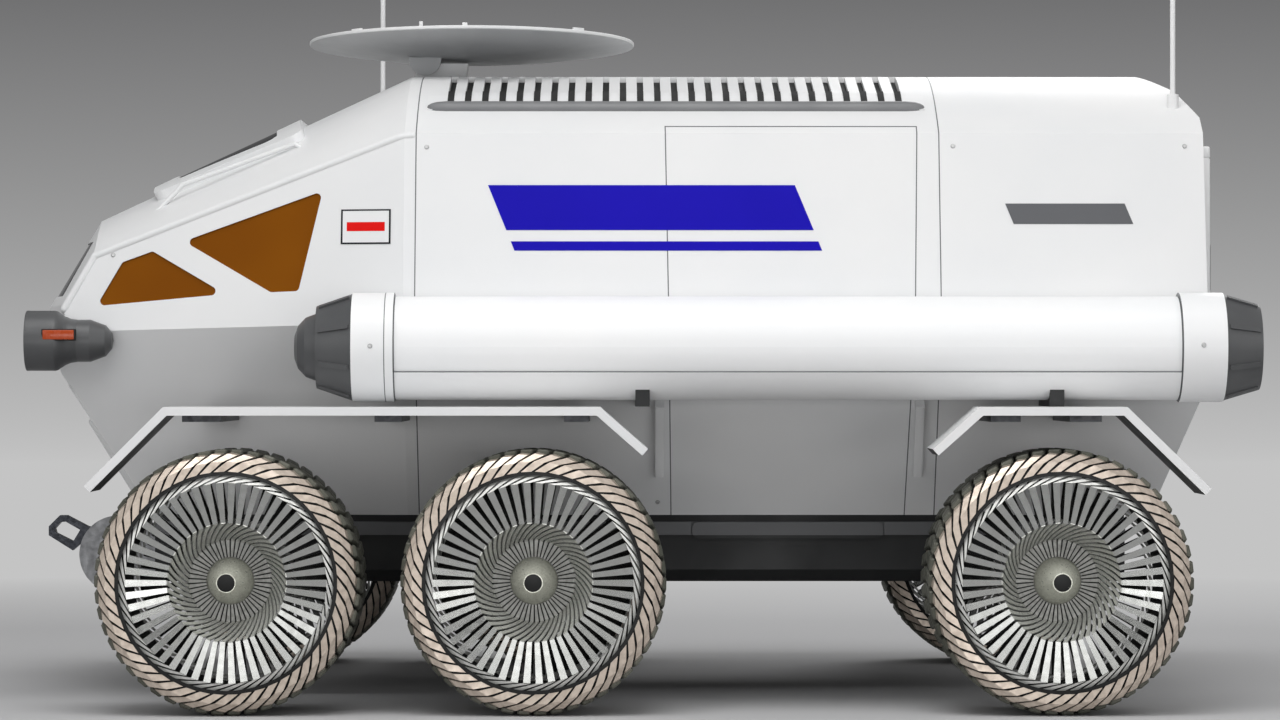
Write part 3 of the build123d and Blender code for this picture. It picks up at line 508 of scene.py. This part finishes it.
# each set's name, mesh, finish, slot and the angle above which its edges stay sharp
wheelSets = [
    ("blades", stripSet([bladePath], wheel["bladeSheet"], blade["lift"]), bladeMetal, "blade_metal", 20.0),
    ("pads", padSet(), padMetal, "blade_metal", 20.0),
    ("carcass", carcassBm, blackRubber, "dark_metal", 30.0),
    ("folds", stripSet([fold, mirrored(fold)], wheel["foldSheet"]), foldMetal, "spoke_metal", 20.0),
    ("bars", stripSet([spokeBar, mirrored(spokeBar)], wheel["barSheet"]), barMetal, "spoke_metal", 20.0),
    ("swirl", stripSet([swirl, backSwirl], wheel["swirlSheet"]), swirlMetal, "spoke_metal", 20.0),
    ("discbars", stripSet([discBar, backDiscBar], wheel["discBarSheet"]), discMetal, "spoke_metal", 20.0),
    ("discplate", plateBm, blackRubber, "dark_metal", 30.0),
    ("hub", hubBm, hubMetal, "spoke_metal", 30.0),
    ("hubcap", capBm, blackRubber, "dark_metal", 40.0),
]
for _, bm, *_ in wheelSets:
    bmesh.ops.recalc_face_normals(bm, faces=bm.faces[:])
wheelSets = [(part, closeMesh(bm, part), *rest) for part, bm, *rest in wheelSets]
for axle, axleX in wheel["axleX"].items():
    for sideName, side in (("left", 1), ("right", -1)):
        place = (Matrix.Translation((axleX, side * wheel["middleY"], wheel["axleZ"]))
                 @ Matrix.Scale(side, 4, (0, 1, 0)))
        for part, mesh, finish, slotName, sharp in wheelSets:
            copy = mesh.copy()
            copy.transform(place)
            if side < 0:
                copy.flip_normals()
            piece = placeMesh(copy, f"{part}_{axle}_{sideName}", finish, f"wheel_{axle}_{sideName}",
                              sharp)
            if part == "blades":
                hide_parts(f"tyre_{axle}_{sideName}")
            if part == "bars":
                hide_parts(f"spokes_{axle}_{sideName}")
print("wheels made")


# Body trim: points on the side wall
bodyShape = {
    "full": [(1.180, 0.907), (1.800, 1.850), (1.580, 2.775)],
    "nose": [(0.860, 0.907), (1.290, 1.806), (1.228, 2.068)],
    "slopeStart": 1.098,
    "noseEnd": 2.960,
}


def profileAt(x):
    # the wall's sill, belt and crease at x
    share = max(0.0, (x - bodyShape["slopeStart"]) / (bodyShape["noseEnd"] - bodyShape["slopeStart"]))
    return [Vector((x, full[0] + share * (nose[0] - full[0]), full[1] + share * (nose[1] - full[1])))
            for full, nose in zip(bodyShape["full"], bodyShape["nose"])]


def wallPoint(x, z, lift=0.0):
    sill, belt, crease = profileAt(x)
    low, high = (sill, belt) if z < belt.z else (belt, crease)
    run = high - low
    outward = Vector((0, run.z, -run.y)).normalized()
    return low + run * ((z - low.z) / run.z) + outward * lift


def flatPlate(bm, corners, thick, side, lift, ring=0.0):
    # a thin plate on the side wall from its corners in x and z, or with a ring width only its frame
    verts = [bm.verts.new(wallPoint(x, z, lift)) for x, z in corners]
    outward = (wallPoint(*corners[0], 1.0) - wallPoint(*corners[0])) * thick
    faces = [bm.faces.new(verts)]
    if ring:
        inner = faces[0]
        faces = bmesh.ops.inset_individual(bm, faces=[inner], thickness=ring, use_even_offset=True)["faces"]
        bmesh.ops.delete(bm, geom=[inner], context="FACES_ONLY")
    flat = list({vert for face in faces for vert in face.verts})
    made = bmesh.ops.extrude_face_region(bm, geom=faces)
    raised = onlyVerts(made["geom"])
    bmesh.ops.translate(bm, vec=outward, verts=raised)
    toSide(bm, flat + raised, side)


bands = {
    "wide": [(0.600, 2.300), (0.690, 2.520), (-0.800, 2.520), (-0.890, 2.300)],
    "thin": [(0.560, 2.200), (0.578, 2.245), (-0.912, 2.245), (-0.930, 2.200)],
    "rear": [(-1.860, 2.330), (-1.820, 2.430), (-2.400, 2.430), (-2.440, 2.330)],
    "border": [(1.161, 2.233), (1.161, 2.403), (1.406, 2.403), (1.406, 2.233)],
    "panel": [(1.170, 2.241), (1.170, 2.395), (1.397, 2.395), (1.397, 2.241)],
    "bar": [(1.190, 2.296), (1.190, 2.340), (1.377, 2.340), (1.377, 2.296)],
    "thick": 0.0012,
    "lifts": {"wide": 0.0008, "thin": 0.0008, "rear": 0.0008, "border": 0.0014, "panel": 0.0022,
              "bar": 0.0030},
}
windows = {
    "small": [(2.620, 1.937), (2.493, 2.153), (2.342, 2.206), (1.974, 1.993)],
    "large": [(2.187, 2.254), (1.498, 2.496), (1.612, 2.006), (1.749, 2.001)],
    "seal": 0.006,
    "depth": -0.0068,  # the seals lie inside the window holes, on the glass
    "thick": 0.003,
}
for name, parts, finish in (("side_bands", ["wide", "thin"], blueBand),
                            ("rear_band", ["rear"], greyBand),
                            ("panel_border", ["border"], darkLine),
                            ("blank_panel", ["panel"], plainWhite),
                            ("red_bar", ["bar"], redBar)):
    bm = bmesh.new()
    for side in (1, -1):
        for part in parts:
            flatPlate(bm, bands[part], bands["thick"], side, bands["lifts"][part])
    makePiece(bm, name, finish, "chassis")
bm = bmesh.new()
for side in (1, -1):
    for part in ("small", "large"):
        flatPlate(bm, windows[part], windows["thick"], side, windows["depth"], windows["seal"])
makePiece(bm, "window_seals", windowSeal, "chassis")

# Grab rails beside each hatch
grab = {
    "x": (-0.144, -1.411),
    "z": (1.134, 1.476),
    "width": 0.045,
    "depth": 0.022,
    "stand": 0.045,
    "foot": 0.030,
    "sunk": -0.01,
    "overlap": 0.002,
    "edge": 0.006,
    "longEdge": 0.1,
}
grabLow, grabHigh = grab["z"]
footTop = grab["stand"] + grab["overlap"]
grabBoxes = [(grabLow, grabHigh, grab["stand"], grab["stand"] + grab["depth"]),
             (grabLow, grabLow + grab["foot"], grab["sunk"], footTop),
             (grabHigh - grab["foot"], grabHigh, grab["sunk"], footTop)]
bm = bmesh.new()
for side in (1, -1):
    for x in grab["x"]:
        for low, high, near, far in grabBoxes:
            verts = bmesh.ops.create_cube(bm, size=1.0)["verts"]
            for vert in verts:
                point = wallPoint(x + vert.co.x * grab["width"], low if vert.co.z < 0 else high,
                                  near if vert.co.y < 0 else far)
                vert.co = Vector((point.x, side * point.y, point.z))
roundEdges(bm, [edge for edge in bm.edges if edge.calc_length() > grab["longEdge"]], grab["edge"], 2)
makePiece(bm, "grab_rails", plainWhite, "chassis")

# Painted shade: a black sheet under the roof slats, so the slots look dark inside
vent = {"x": (-1.350, 0.905), "y": (0.545, 1.105), "z": (3.084, 2.968), "thick": 0.004}
bm = bmesh.new()
for side in (1, -1):
    corners = [bm.verts.new((x, side * y, z)) for x, y, z in (
        (vent["x"][0], vent["y"][0], vent["z"][0]), (vent["x"][1], vent["y"][0], vent["z"][0]),
        (vent["x"][1], vent["y"][1], vent["z"][1]), (vent["x"][0], vent["y"][1], vent["z"][1]))]
    bm.faces.new(corners)
bmesh.ops.solidify(bm, geom=bm.faces[:] + bm.edges[:] + bm.verts[:], thickness=vent["thick"])
makePiece(bm, "vent_shade_sheet", blackRubber, "chassis")

# Roof rails: a thin white foot, a half round grey bar on it, and black strips painted as the shaded lower
# ends of the roof slots
shoulder = {"centre": (0.3431, 0.7229), "radius": 2.396, "cuts": 5}
rail = {
    "x": (-1.449, 0.998),
    "footY": (1.156, 1.345),
    "footLift": (0.001, 0.005),
    "barY": 1.318,
    "bar": 0.030,
    "barWide": 0.042,
    "barHigh": 0.033,
    "barSunk": -0.006,
    "barSteps": 20,
    "endCuts": (0.005, 0.02, 0.045),
    "taper": 0.095,
    "endShare": 0.12,
    "slotY": (1.088, 1.250),
    "slotFirst": 0.900,
    "slotPitch": 0.085,
    "slot": 0.032,
    "slots": 27,
    "slotLift": (0.0055, 0.0075),
}


def shoulderPoint(x, y, lift):
    # a point on the roof's rounded shoulder, between the seams
    centreY, centreZ = shoulder["centre"]
    radius = shoulder["radius"]
    turn = asin((y - centreY) / radius)
    return Vector((x, centreY + (radius + lift) * sin(turn), centreZ + (radius + lift) * cos(turn)))


def shoulderSheet(bm, xs, ys, lifts, side):
    # a unit cube, cut across its edges along y and laid on the shoulder
    verts = bmesh.ops.create_cube(bm, size=1.0)["verts"]
    faces = list({face for vert in verts for face in vert.link_faces})
    edges = [edge for edge in {edge for vert in verts for edge in vert.link_edges}
             if abs(edge.verts[0].co.y - edge.verts[1].co.y) > 0.5]
    cut = bmesh.ops.subdivide_edges(bm, edges=edges, cuts=shoulder["cuts"])
    verts = list({vert for face in faces for vert in face.verts} | set(onlyVerts(cut["geom_inner"])))
    for vert in verts:
        x = xs[0] + (xs[1] - xs[0]) * (vert.co.x + 0.5)
        y = ys[0] + (ys[1] - ys[0]) * (vert.co.y + 0.5)
        point = shoulderPoint(x, y, lifts[0] if vert.co.z < 0 else lifts[1])
        vert.co = Vector((point.x, side * point.y, point.z))


footBm, slotBm, barBm = bmesh.new(), bmesh.new(), bmesh.new()
for side in (1, -1):
    shoulderSheet(footBm, rail["x"], rail["footY"], rail["footLift"], side)
    # painted shade: black strips laid on the shoulder as shaded slot openings, down to the rail
    for index in range(rail["slots"]):
        high = rail["slotFirst"] - index * rail["slotPitch"]
        shoulderSheet(slotBm, (high - rail["slot"], high), rail["slotY"], rail["slotLift"], side)
    length = rail["x"][1] - rail["x"][0]
    verts = bmesh.ops.create_cone(barBm, cap_ends=True, segments=rail["barSteps"], radius1=rail["bar"],
                                  radius2=rail["bar"], depth=length)["verts"]
    bmesh.ops.rotate(barBm, cent=(0, 0, 0), matrix=Matrix.Rotation(pi / 2, 3, "Y"), verts=verts)
    geom = list({item for vert in verts for item in (vert, *vert.link_edges, *vert.link_faces)})
    for step in (*rail["endCuts"], rail["taper"]):
        for end in (1, -1):
            cut = bmesh.ops.bisect_plane(barBm, geom=geom, plane_co=(end * (length / 2 - step), 0, 0),
                                         plane_no=(1, 0, 0))
            geom = list(set(geom) | set(cut["geom"]))
    middle = shoulderPoint(sum(rail["x"]) / 2, rail["barY"], 0.0)
    lean = shoulderPoint(middle.x, rail["barY"], 1.0) - middle
    flow = Vector((0, lean.z, -lean.y))
    for vert in [item for item in onlyVerts(geom) if item.is_valid]:
        inside = min(1.0, (length / 2 - abs(vert.co.x)) / rail["taper"])
        share = rail["endShare"] + (1 - rail["endShare"]) * sqrt(max(0.0, inside * (2 - inside)))
        across = vert.co.y / rail["bar"] * rail["barWide"] * share
        raised = max(vert.co.z, rail["barSunk"]) / rail["bar"] * rail["barHigh"] * share
        point = middle + flow * across + lean * raised
        vert.co = Vector((point.x + vert.co.x, side * point.y, point.z))
foot = makePiece(footBm, "rail_feet", plainWhite, "chassis")
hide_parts("roof_rails")
makePiece(slotBm, "slot_shade_strips", blackRubber, "chassis")
makePiece(barBm, "rail_bars", railPlastic, "chassis")


# Round parts turned about an axis along X: lamp coves, lamp rims
def turnOutline(bm, outline, centre, steps, side):
    points = [(x, centre[0], centre[1] + radius) for x, radius in outline]
    spinPoints(bm, points, (1, 0, 0), steps, (0, *centre))
    toSide(bm, [vert for vert in bm.verts if vert.co.y > 0], side)


def bevelBox(bm, low, high, edge, side=1):
    # a box with rounded edges from its corners
    verts = bmesh.ops.create_cube(bm, size=1.0)["verts"]
    bmesh.ops.scale(bm, vec=[b - a for a, b in zip(low, high)], verts=verts)
    made = roundEdges(bm, list({item for vert in verts for item in vert.link_edges}), edge, 2)
    verts = list({vert for face in made["faces"] for vert in face.verts})
    bmesh.ops.translate(bm, vec=[(a + b) / 2 for a, b in zip(low, high)], verts=verts)
    toSide(bm, verts, side)
    return verts


nacelle = {
    "centre": (1.420, 1.766),
    "cove": [(2.812, 0.100), (2.812, 0.1465), (2.800, 0.1440), (2.784, 0.1330), (2.764, 0.1190),
             (2.738, 0.1085), (2.706, 0.1035), (2.700, 0.100)],
    "rim": [(2.9515, 0.128), (2.9540, 0.131), (2.9540, 0.144), (2.9500, 0.1478), (2.9400, 0.1478),
            (2.9400, 0.1460), (2.9440, 0.128)],
    "marker": ((2.708, 1.500, 1.771), (2.861, 1.5695, 1.8175)),
    "frame": ((2.702, 1.500, 1.7655), (2.867, 1.5655, 1.823)),
    "edge": 0.004,
    "steps": 64,
}
coveBm, rimBm, markerBm, frameBm = bmesh.new(), bmesh.new(), bmesh.new(), bmesh.new()
for side in (-1, 1):
    turnOutline(coveBm, nacelle["cove"], nacelle["centre"], nacelle["steps"], side)
    turnOutline(rimBm, nacelle["rim"], nacelle["centre"], nacelle["steps"], side)
    bevelBox(markerBm, *nacelle["marker"], nacelle["edge"], side)
    bevelBox(frameBm, *nacelle["frame"], nacelle["edge"], side)
makePiece(coveBm, "lamp_coves", capPlastic, "chassis")
makePiece(rimBm, "lamp_rims", capPlastic, "chassis")
makePiece(markerBm, "side_markers", orangeLens, "chassis")
makePiece(frameBm, "marker_frames", blackRubber, "chassis")

# Rounded beads along the nose's creases and pillars and along the chin
bead = {
    "crease": (1.06, 1.12, 1.80, 2.632),
    "pillar": (2.781, 1.925),
    "width": 0.022,
    "sunk": -0.011,
    "chin": [(2.765, 1.545), (2.392, 0.945)],
    "chinWidth": 0.007,
    "chinSunk": -0.002,
    "steps": 12,
    "rings": 8,
    "sharp": 50.0,
}


def turnTo(direction, place):
    # a matrix that lays the Z axis along a direction and moves to a place
    return Matrix.Translation(place) @ direction.to_track_quat("Z", "Y").to_matrix().to_4x4()


def layBead(name, points, radius):
    # a round white bead through points, on both sides
    bm = bmesh.new()
    for side in (1, -1):
        for start, end in zip(points, points[1:]):
            run = end - start
            verts = bmesh.ops.create_cone(bm, cap_ends=True, segments=bead["steps"], radius1=radius,
                                          radius2=radius, depth=run.length)["verts"]
            for middle in (start, end):
                ball = bmesh.ops.create_uvsphere(bm, u_segments=bead["steps"], v_segments=bead["rings"],
                                                 radius=radius)["verts"]
                bmesh.ops.translate(bm, vec=middle, verts=ball)
                toSide(bm, ball, side)
            bmesh.ops.transform(bm, matrix=turnTo(run, (start + end) / 2), verts=verts)
            toSide(bm, verts, side)
    makePiece(bm, name, plainWhite, "chassis", bead["sharp"])


inward = Vector((0, bead["sunk"], bead["sunk"]))
creaseLine = []
for x in bead["crease"]:
    point = profileAt(max(x, bodyShape["slopeStart"]))[2]
    creaseLine.append(Vector((x, point.y, point.z)) + inward)
layBead("nose_beads", creaseLine + [wallPoint(*bead["pillar"], bead["sunk"])], bead["width"])
layBead("chin_beads", [wallPoint(x, z, bead["chinSunk"]) for x, z in bead["chin"]], bead["chinWidth"])

# Rails along the hood
hoodRail = {
    "points": [(2.396, 1.050, 2.362), (2.2225, 1.050, 2.544), (1.660, 1.120, 2.744), (1.580, 1.147, 2.690)],
    "radius": 0.012,
}
layBead("hood_rails", [Vector(point) for point in hoodRail["points"]], hoodRail["radius"])

# Bolts on the walls and the tube bands
bolt = {
    "wall": [(2.540, 2.189), (0.989, 2.707), (-1.571, 2.712), (-2.699, 2.712), (-0.137, 0.9715)],
    "tube": [(1.230, 1.7346), (-2.710, 1.739)],
    "tubeCentre": (2.060, 1.730),
    "tubeRadius": 0.2612,
    "radius": 0.012,
    "topShare": 0.7,
    "height": 0.006,
    "steps": 16,
}


def setBolt(bm, place, outward, side):
    verts = bmesh.ops.create_cone(bm, cap_ends=True, segments=bolt["steps"], radius1=bolt["radius"],
                                  radius2=bolt["radius"] * bolt["topShare"], depth=bolt["height"])["verts"]
    bmesh.ops.transform(bm, matrix=turnTo(outward, place + outward * bolt["height"] / 2), verts=verts)
    toSide(bm, verts, side)


bm = bmesh.new()
for side in (1, -1):
    for x, z in bolt["wall"]:
        setBolt(bm, wallPoint(x, z), (wallPoint(x, z, 1.0) - wallPoint(x, z)).normalized(), side)
    for x, z in bolt["tube"]:
        centreY, centreZ = bolt["tubeCentre"]
        outward = Vector((0, sqrt(bolt["tubeRadius"] ** 2 - (z - centreZ) ** 2), z - centreZ)).normalized()
        setBolt(bm, Vector((x, centreY, centreZ)) + outward * bolt["tubeRadius"], outward, side)
makePiece(bm, "bolts", steelBolt, "chassis")

# Chin plate on the nose's lower front
chin = {
    "high": (2.675, 0, 1.398),
    "low": (2.450, 0, 1.036),
    "half": 0.800,
    "thick": 0.055,
    "sunk": -0.004,
    "edge": 0.014,
}
high = Vector(chin["high"])
low = Vector(chin["low"])
along = (low - high).normalized()
outward = Vector((-along.z, 0, along.x))
bm = bmesh.new()
verts = bevelBox(bm, (chin["sunk"], -chin["half"], -(high - low).length),
                 (chin["thick"], chin["half"], 0.0), chin["edge"])
for vert in verts:
    vert.co = high + outward * vert.co.x + along * -vert.co.z + Vector((0, vert.co.y, 0))
makePiece(bm, "chin_plate", plainWhite, "chassis")

# Dish rim and the small studs on it, turned with the dish's own roll
dishRim = {
    "centre": (0.815, 0.0, 3.298),
    "roll": 2.5,
    "outline": [(0.824, 0.0030), (0.8362, 0.0030), (0.8385, 0.0060), (0.8385, 0.0160), (0.8365, 0.0185),
                (0.824, 0.0185)],
    "steps": 128,
    "studs": [(1.379, 0.070, 0.010), (1.048, 0.018, 0.026), (0.827, 0.026, 0.016), (0.260, 0.070, 0.014)],
    "studRadius": 0.826,
    "studHalf": 0.007,
    "studSunk": 0.003,
    "studEdge": 0.003,
    "top": 0.014,
}
rimBm, studBm = bmesh.new(), bmesh.new()
spinPoints(rimBm, [(radius, 0, z) for radius, z in dishRim["outline"]], (0, 0, 1), dishRim["steps"])
for side in (1, -1):
    for x, length, height in dishRim["studs"]:
        shift = x - dishRim["centre"][0]
        y = side * (sqrt(dishRim["studRadius"] ** 2 - shift ** 2))
        verts = bevelBox(studBm, (-length / 2, -dishRim["studHalf"], 0.0),
                         (length / 2, dishRim["studHalf"], height + dishRim["studSunk"]), dishRim["studEdge"])
        turned = Matrix.Rotation(-atan2(shift, y), 3, "Z")
        bmesh.ops.rotate(studBm, cent=(0, 0, 0), matrix=turned, verts=verts)
        bmesh.ops.translate(studBm, vec=(shift, y, dishRim["top"]), verts=verts)
for bm, name in ((rimBm, "dish_rim"), (studBm, "dish_studs")):
    bmesh.ops.transform(bm, verts=bm.verts[:], matrix=Matrix.Translation(dishRim["centre"])
                        @ Matrix.Rotation(radians(dishRim["roll"]), 4, "X"))
    makePiece(bm, name, plainWhite, "dish")

# Rear door: a raised rim and a grip
rearTrim = {
    "door": ((-2.900, -0.935, 1.505), (-2.858, 0.935, 2.741)),
    "rim": 0.060,
    "overlap": 0.004,
    "edge": 0.010,
    "grip": ((-2.925, 0.700, 2.020), (-2.895, 0.735, 2.260)),
    "gripEdge": 0.008,
    "gripFeet": (2.035, 2.245),
    "footX": (-2.905, -2.855),
    "footY": (0.704, 0.731),
    "footHalf": 0.014,
    "footEdge": 0.004,
}
bm = bmesh.new()
(backX, lowY, lowZ), (frontX, highY, highZ) = rearTrim["door"]
rimWidth = rearTrim["rim"]
postLow = lowZ + rimWidth - rearTrim["overlap"]
postHigh = highZ - rimWidth + rearTrim["overlap"]
for low, high in (((backX, lowY, lowZ), (frontX, highY, lowZ + rimWidth)),
                  ((backX, lowY, highZ - rimWidth), (frontX, highY, highZ)),
                  ((backX, lowY, postLow), (frontX, lowY + rimWidth, postHigh)),
                  ((backX, highY - rimWidth, postLow), (frontX, highY, postHigh))):
    bevelBox(bm, low, high, rearTrim["edge"])
makePiece(bm, "door_rim", plainWhite, "rear_door")
bm = bmesh.new()
bevelBox(bm, *rearTrim["grip"], rearTrim["gripEdge"])
(footBack, footFront), (footLow, footHigh) = rearTrim["footX"], rearTrim["footY"]
for z in rearTrim["gripFeet"]:
    bevelBox(bm, (footBack, footLow, z - rearTrim["footHalf"]),
             (footFront, footHigh, z + rearTrim["footHalf"]), rearTrim["footEdge"])
makePiece(bm, "door_grip", capPlastic, "rear_door")

# Rope wound on the winch's drum
rope = {
    "centre": (2.620, 0, 0.682),
    "drum": 0.160,
    "outer": 0.180,
    "turns": 26,
    "half": 0.232,
    "radius": 0.0089,
    "angles": (-60, -20, 20, 60),
    "steps": 72,
    "sharp": 60.0,
}
bm = bmesh.new()
outline = [(rope["drum"], -rope["half"])]
for index in range(rope["turns"]):
    y = -rope["half"] + (index + 0.5) * 2 * rope["half"] / rope["turns"]
    for angle in rope["angles"]:
        outline.append((rope["outer"] + rope["radius"] * cos(radians(angle)) - rope["radius"],
                        y + rope["radius"] * sin(radians(angle))))
outline.append((rope["drum"], rope["half"]))
spinOutline(bm, outline, rope["steps"])
bmesh.ops.translate(bm, vec=rope["centre"], verts=bm.verts[:])
makePiece(bm, "winch_rope", hookSteel, "chassis", rope["sharp"])
print("trim made")

# Studio: camera, floor with a curved backdrop, soft lamps
studio = {
    "camera": (0.049, 26.5, 1.574),
    "target": (-0.0545, 0.0, 1.6775),
    "lens": 144.0,
    "sensor": 36.0,
    "clip": 400.0,
    "flat": 72.0,
    "sweep": 22.0,
    "sweepSteps": 12,
    "top": 60.0,
    "halfWidth": 110.0,
    "frontShadeFade": (2.8, 9.0),
    "farFade": (7.0, 15.0),
    "riseFade": (0.0, 12.0),
    "risePower": 0.7,
    "floorRough": 0.9,
    "floorGloss": 0.1,
    "worldStrength": 0.40,
    "lampTarget": (0, 0, 1.2),
}


def aim(start, target):
    return (Vector(target) - Vector(start)).to_track_quat("-Z", "Y").to_euler()


camera = addObject("camera", bpy.data.cameras.new("camera"))
camera.data.lens = studio["lens"]
camera.data.sensor_width = studio["sensor"]
camera.data.clip_end = studio["clip"]
camera.location = studio["camera"]
camera.rotation_euler = aim(studio["camera"], studio["target"])
bpy.context.scene.camera = camera

bm = bmesh.new()
section = []
for sign in (1, -1):
    arc = []
    for step in range(studio["sweepSteps"] + 1):
        turn = pi / 2 * step / studio["sweepSteps"]
        arc.append((sign * (studio["flat"] + studio["sweep"] * sin(turn)), studio["sweep"] * (1 - cos(turn))))
    arc.append((arc[-1][0], studio["top"]))
    section += arc[::-1] if sign > 0 else arc
verts = [bm.verts.new((-studio["halfWidth"], y, z)) for y, z in section]
edges = [bm.edges.new((verts[index], verts[index + 1])) for index in range(len(verts) - 1)]
made = bmesh.ops.extrude_edge_only(bm, edges=edges)
bmesh.ops.translate(bm, vec=(2 * studio["halfWidth"], 0, 0), verts=onlyVerts(made["geom"]))
mesh = closeMesh(bm, "floor")
mesh.shade_smooth()
floor = addObject("floor", mesh)
material, tree, shader, place = startFinish("studio grey")
x, y, z = splitParts(tree, place)
# painted shade: the floor's tone darkens from y 2.8 to 9, towards the camera
front = spread(tree, y, 0.0, 1.0, *studio["frontShadeFade"])
tree.links.new(mixTones(tree, front, tone(190, 190, 191), tone(140, 140, 141)), shader.inputs["Base Color"])
shader.inputs["Roughness"].default_value = studio["floorRough"]
shader.inputs["Specular IOR Level"].default_value = studio["floorGloss"]
# away from the object the floor and backdrop glow for camera, glossy and transmission rays, with a painted
# light falloff from pale grey low down to darker grey high up
squares = reckon(tree, "ADD", reckon(tree, "MULTIPLY", x, x), reckon(tree, "MULTIPLY", y, y))
far = reckon(tree, "SQRT", squares)
away = spread(tree, far, 0.0, 1.0, *studio["farFade"])
rise = spread(tree, z, 0.0, 1.0, *studio["riseFade"])
glow = tree.nodes.new("ShaderNodeEmission")
height = reckon(tree, "POWER", rise, studio["risePower"])
tree.links.new(mixTones(tree, height, tone(196, 196, 196), tone(98, 98, 99)), glow.inputs["Color"])
rays = tree.nodes.new("ShaderNodeLightPath")
seen = reckon(tree, "MAXIMUM", rays.outputs["Is Camera Ray"],
              reckon(tree, "MAXIMUM", rays.outputs["Is Glossy Ray"], rays.outputs["Is Transmission Ray"]))
blendNode = tree.nodes.new("ShaderNodeMixShader")
tree.links.new(reckon(tree, "MULTIPLY", away, seen), blendNode.inputs[0])
tree.links.new(shader.outputs[0], blendNode.inputs[1])
tree.links.new(glow.outputs[0], blendNode.inputs[2])
tree.links.new(blendNode.outputs[0], tree.nodes["Material Output"].inputs["Surface"])
mesh.materials.append(material)

world = bpy.data.worlds.new("studio")
world.use_nodes = True
world.node_tree.nodes["Background"].inputs["Color"].default_value = (1.0, 1.0, 1.0, 1.0)
world.node_tree.nodes["Background"].inputs["Strength"].default_value = studio["worldStrength"]
bpy.context.scene.world = world
lamps = {
    "overhead": {"place": (1.0, 7.0, 15.5), "size": (9.0, 9.0), "watts": 1060.0},
    "panel": {"place": (0.0, 15.0, 11.0), "size": (18.0, 5.0), "watts": 600.0},
    "panelFront": {"place": (13.0, 14.0, 6.5), "size": (8.0, 7.0), "watts": 300.0},
    "panelRear": {"place": (-13.0, 14.0, 6.5), "size": (8.0, 7.0), "watts": 300.0},
    "lowFill": {"place": (-1.0, 18.0, 1.3), "size": (18.0, 2.4), "watts": 520.0},
    "back": {"place": (-5.0, -13.5, 9.5), "size": (7.0, 7.0), "watts": 500.0},
}
for name, lamp in lamps.items():
    light = bpy.data.lights.new(name, "AREA")
    light.shape = "RECTANGLE"
    light.size, light.size_y = lamp["size"]
    light.energy = lamp["watts"]
    lampObject = addObject(name, light)
    lampObject.location = lamp["place"]
    lampObject.rotation_euler = aim(lamp["place"], studio["lampTarget"])
    lampObject.visible_camera = False
bpy.context.scene.view_settings.view_transform = "Standard"
print("studio made")
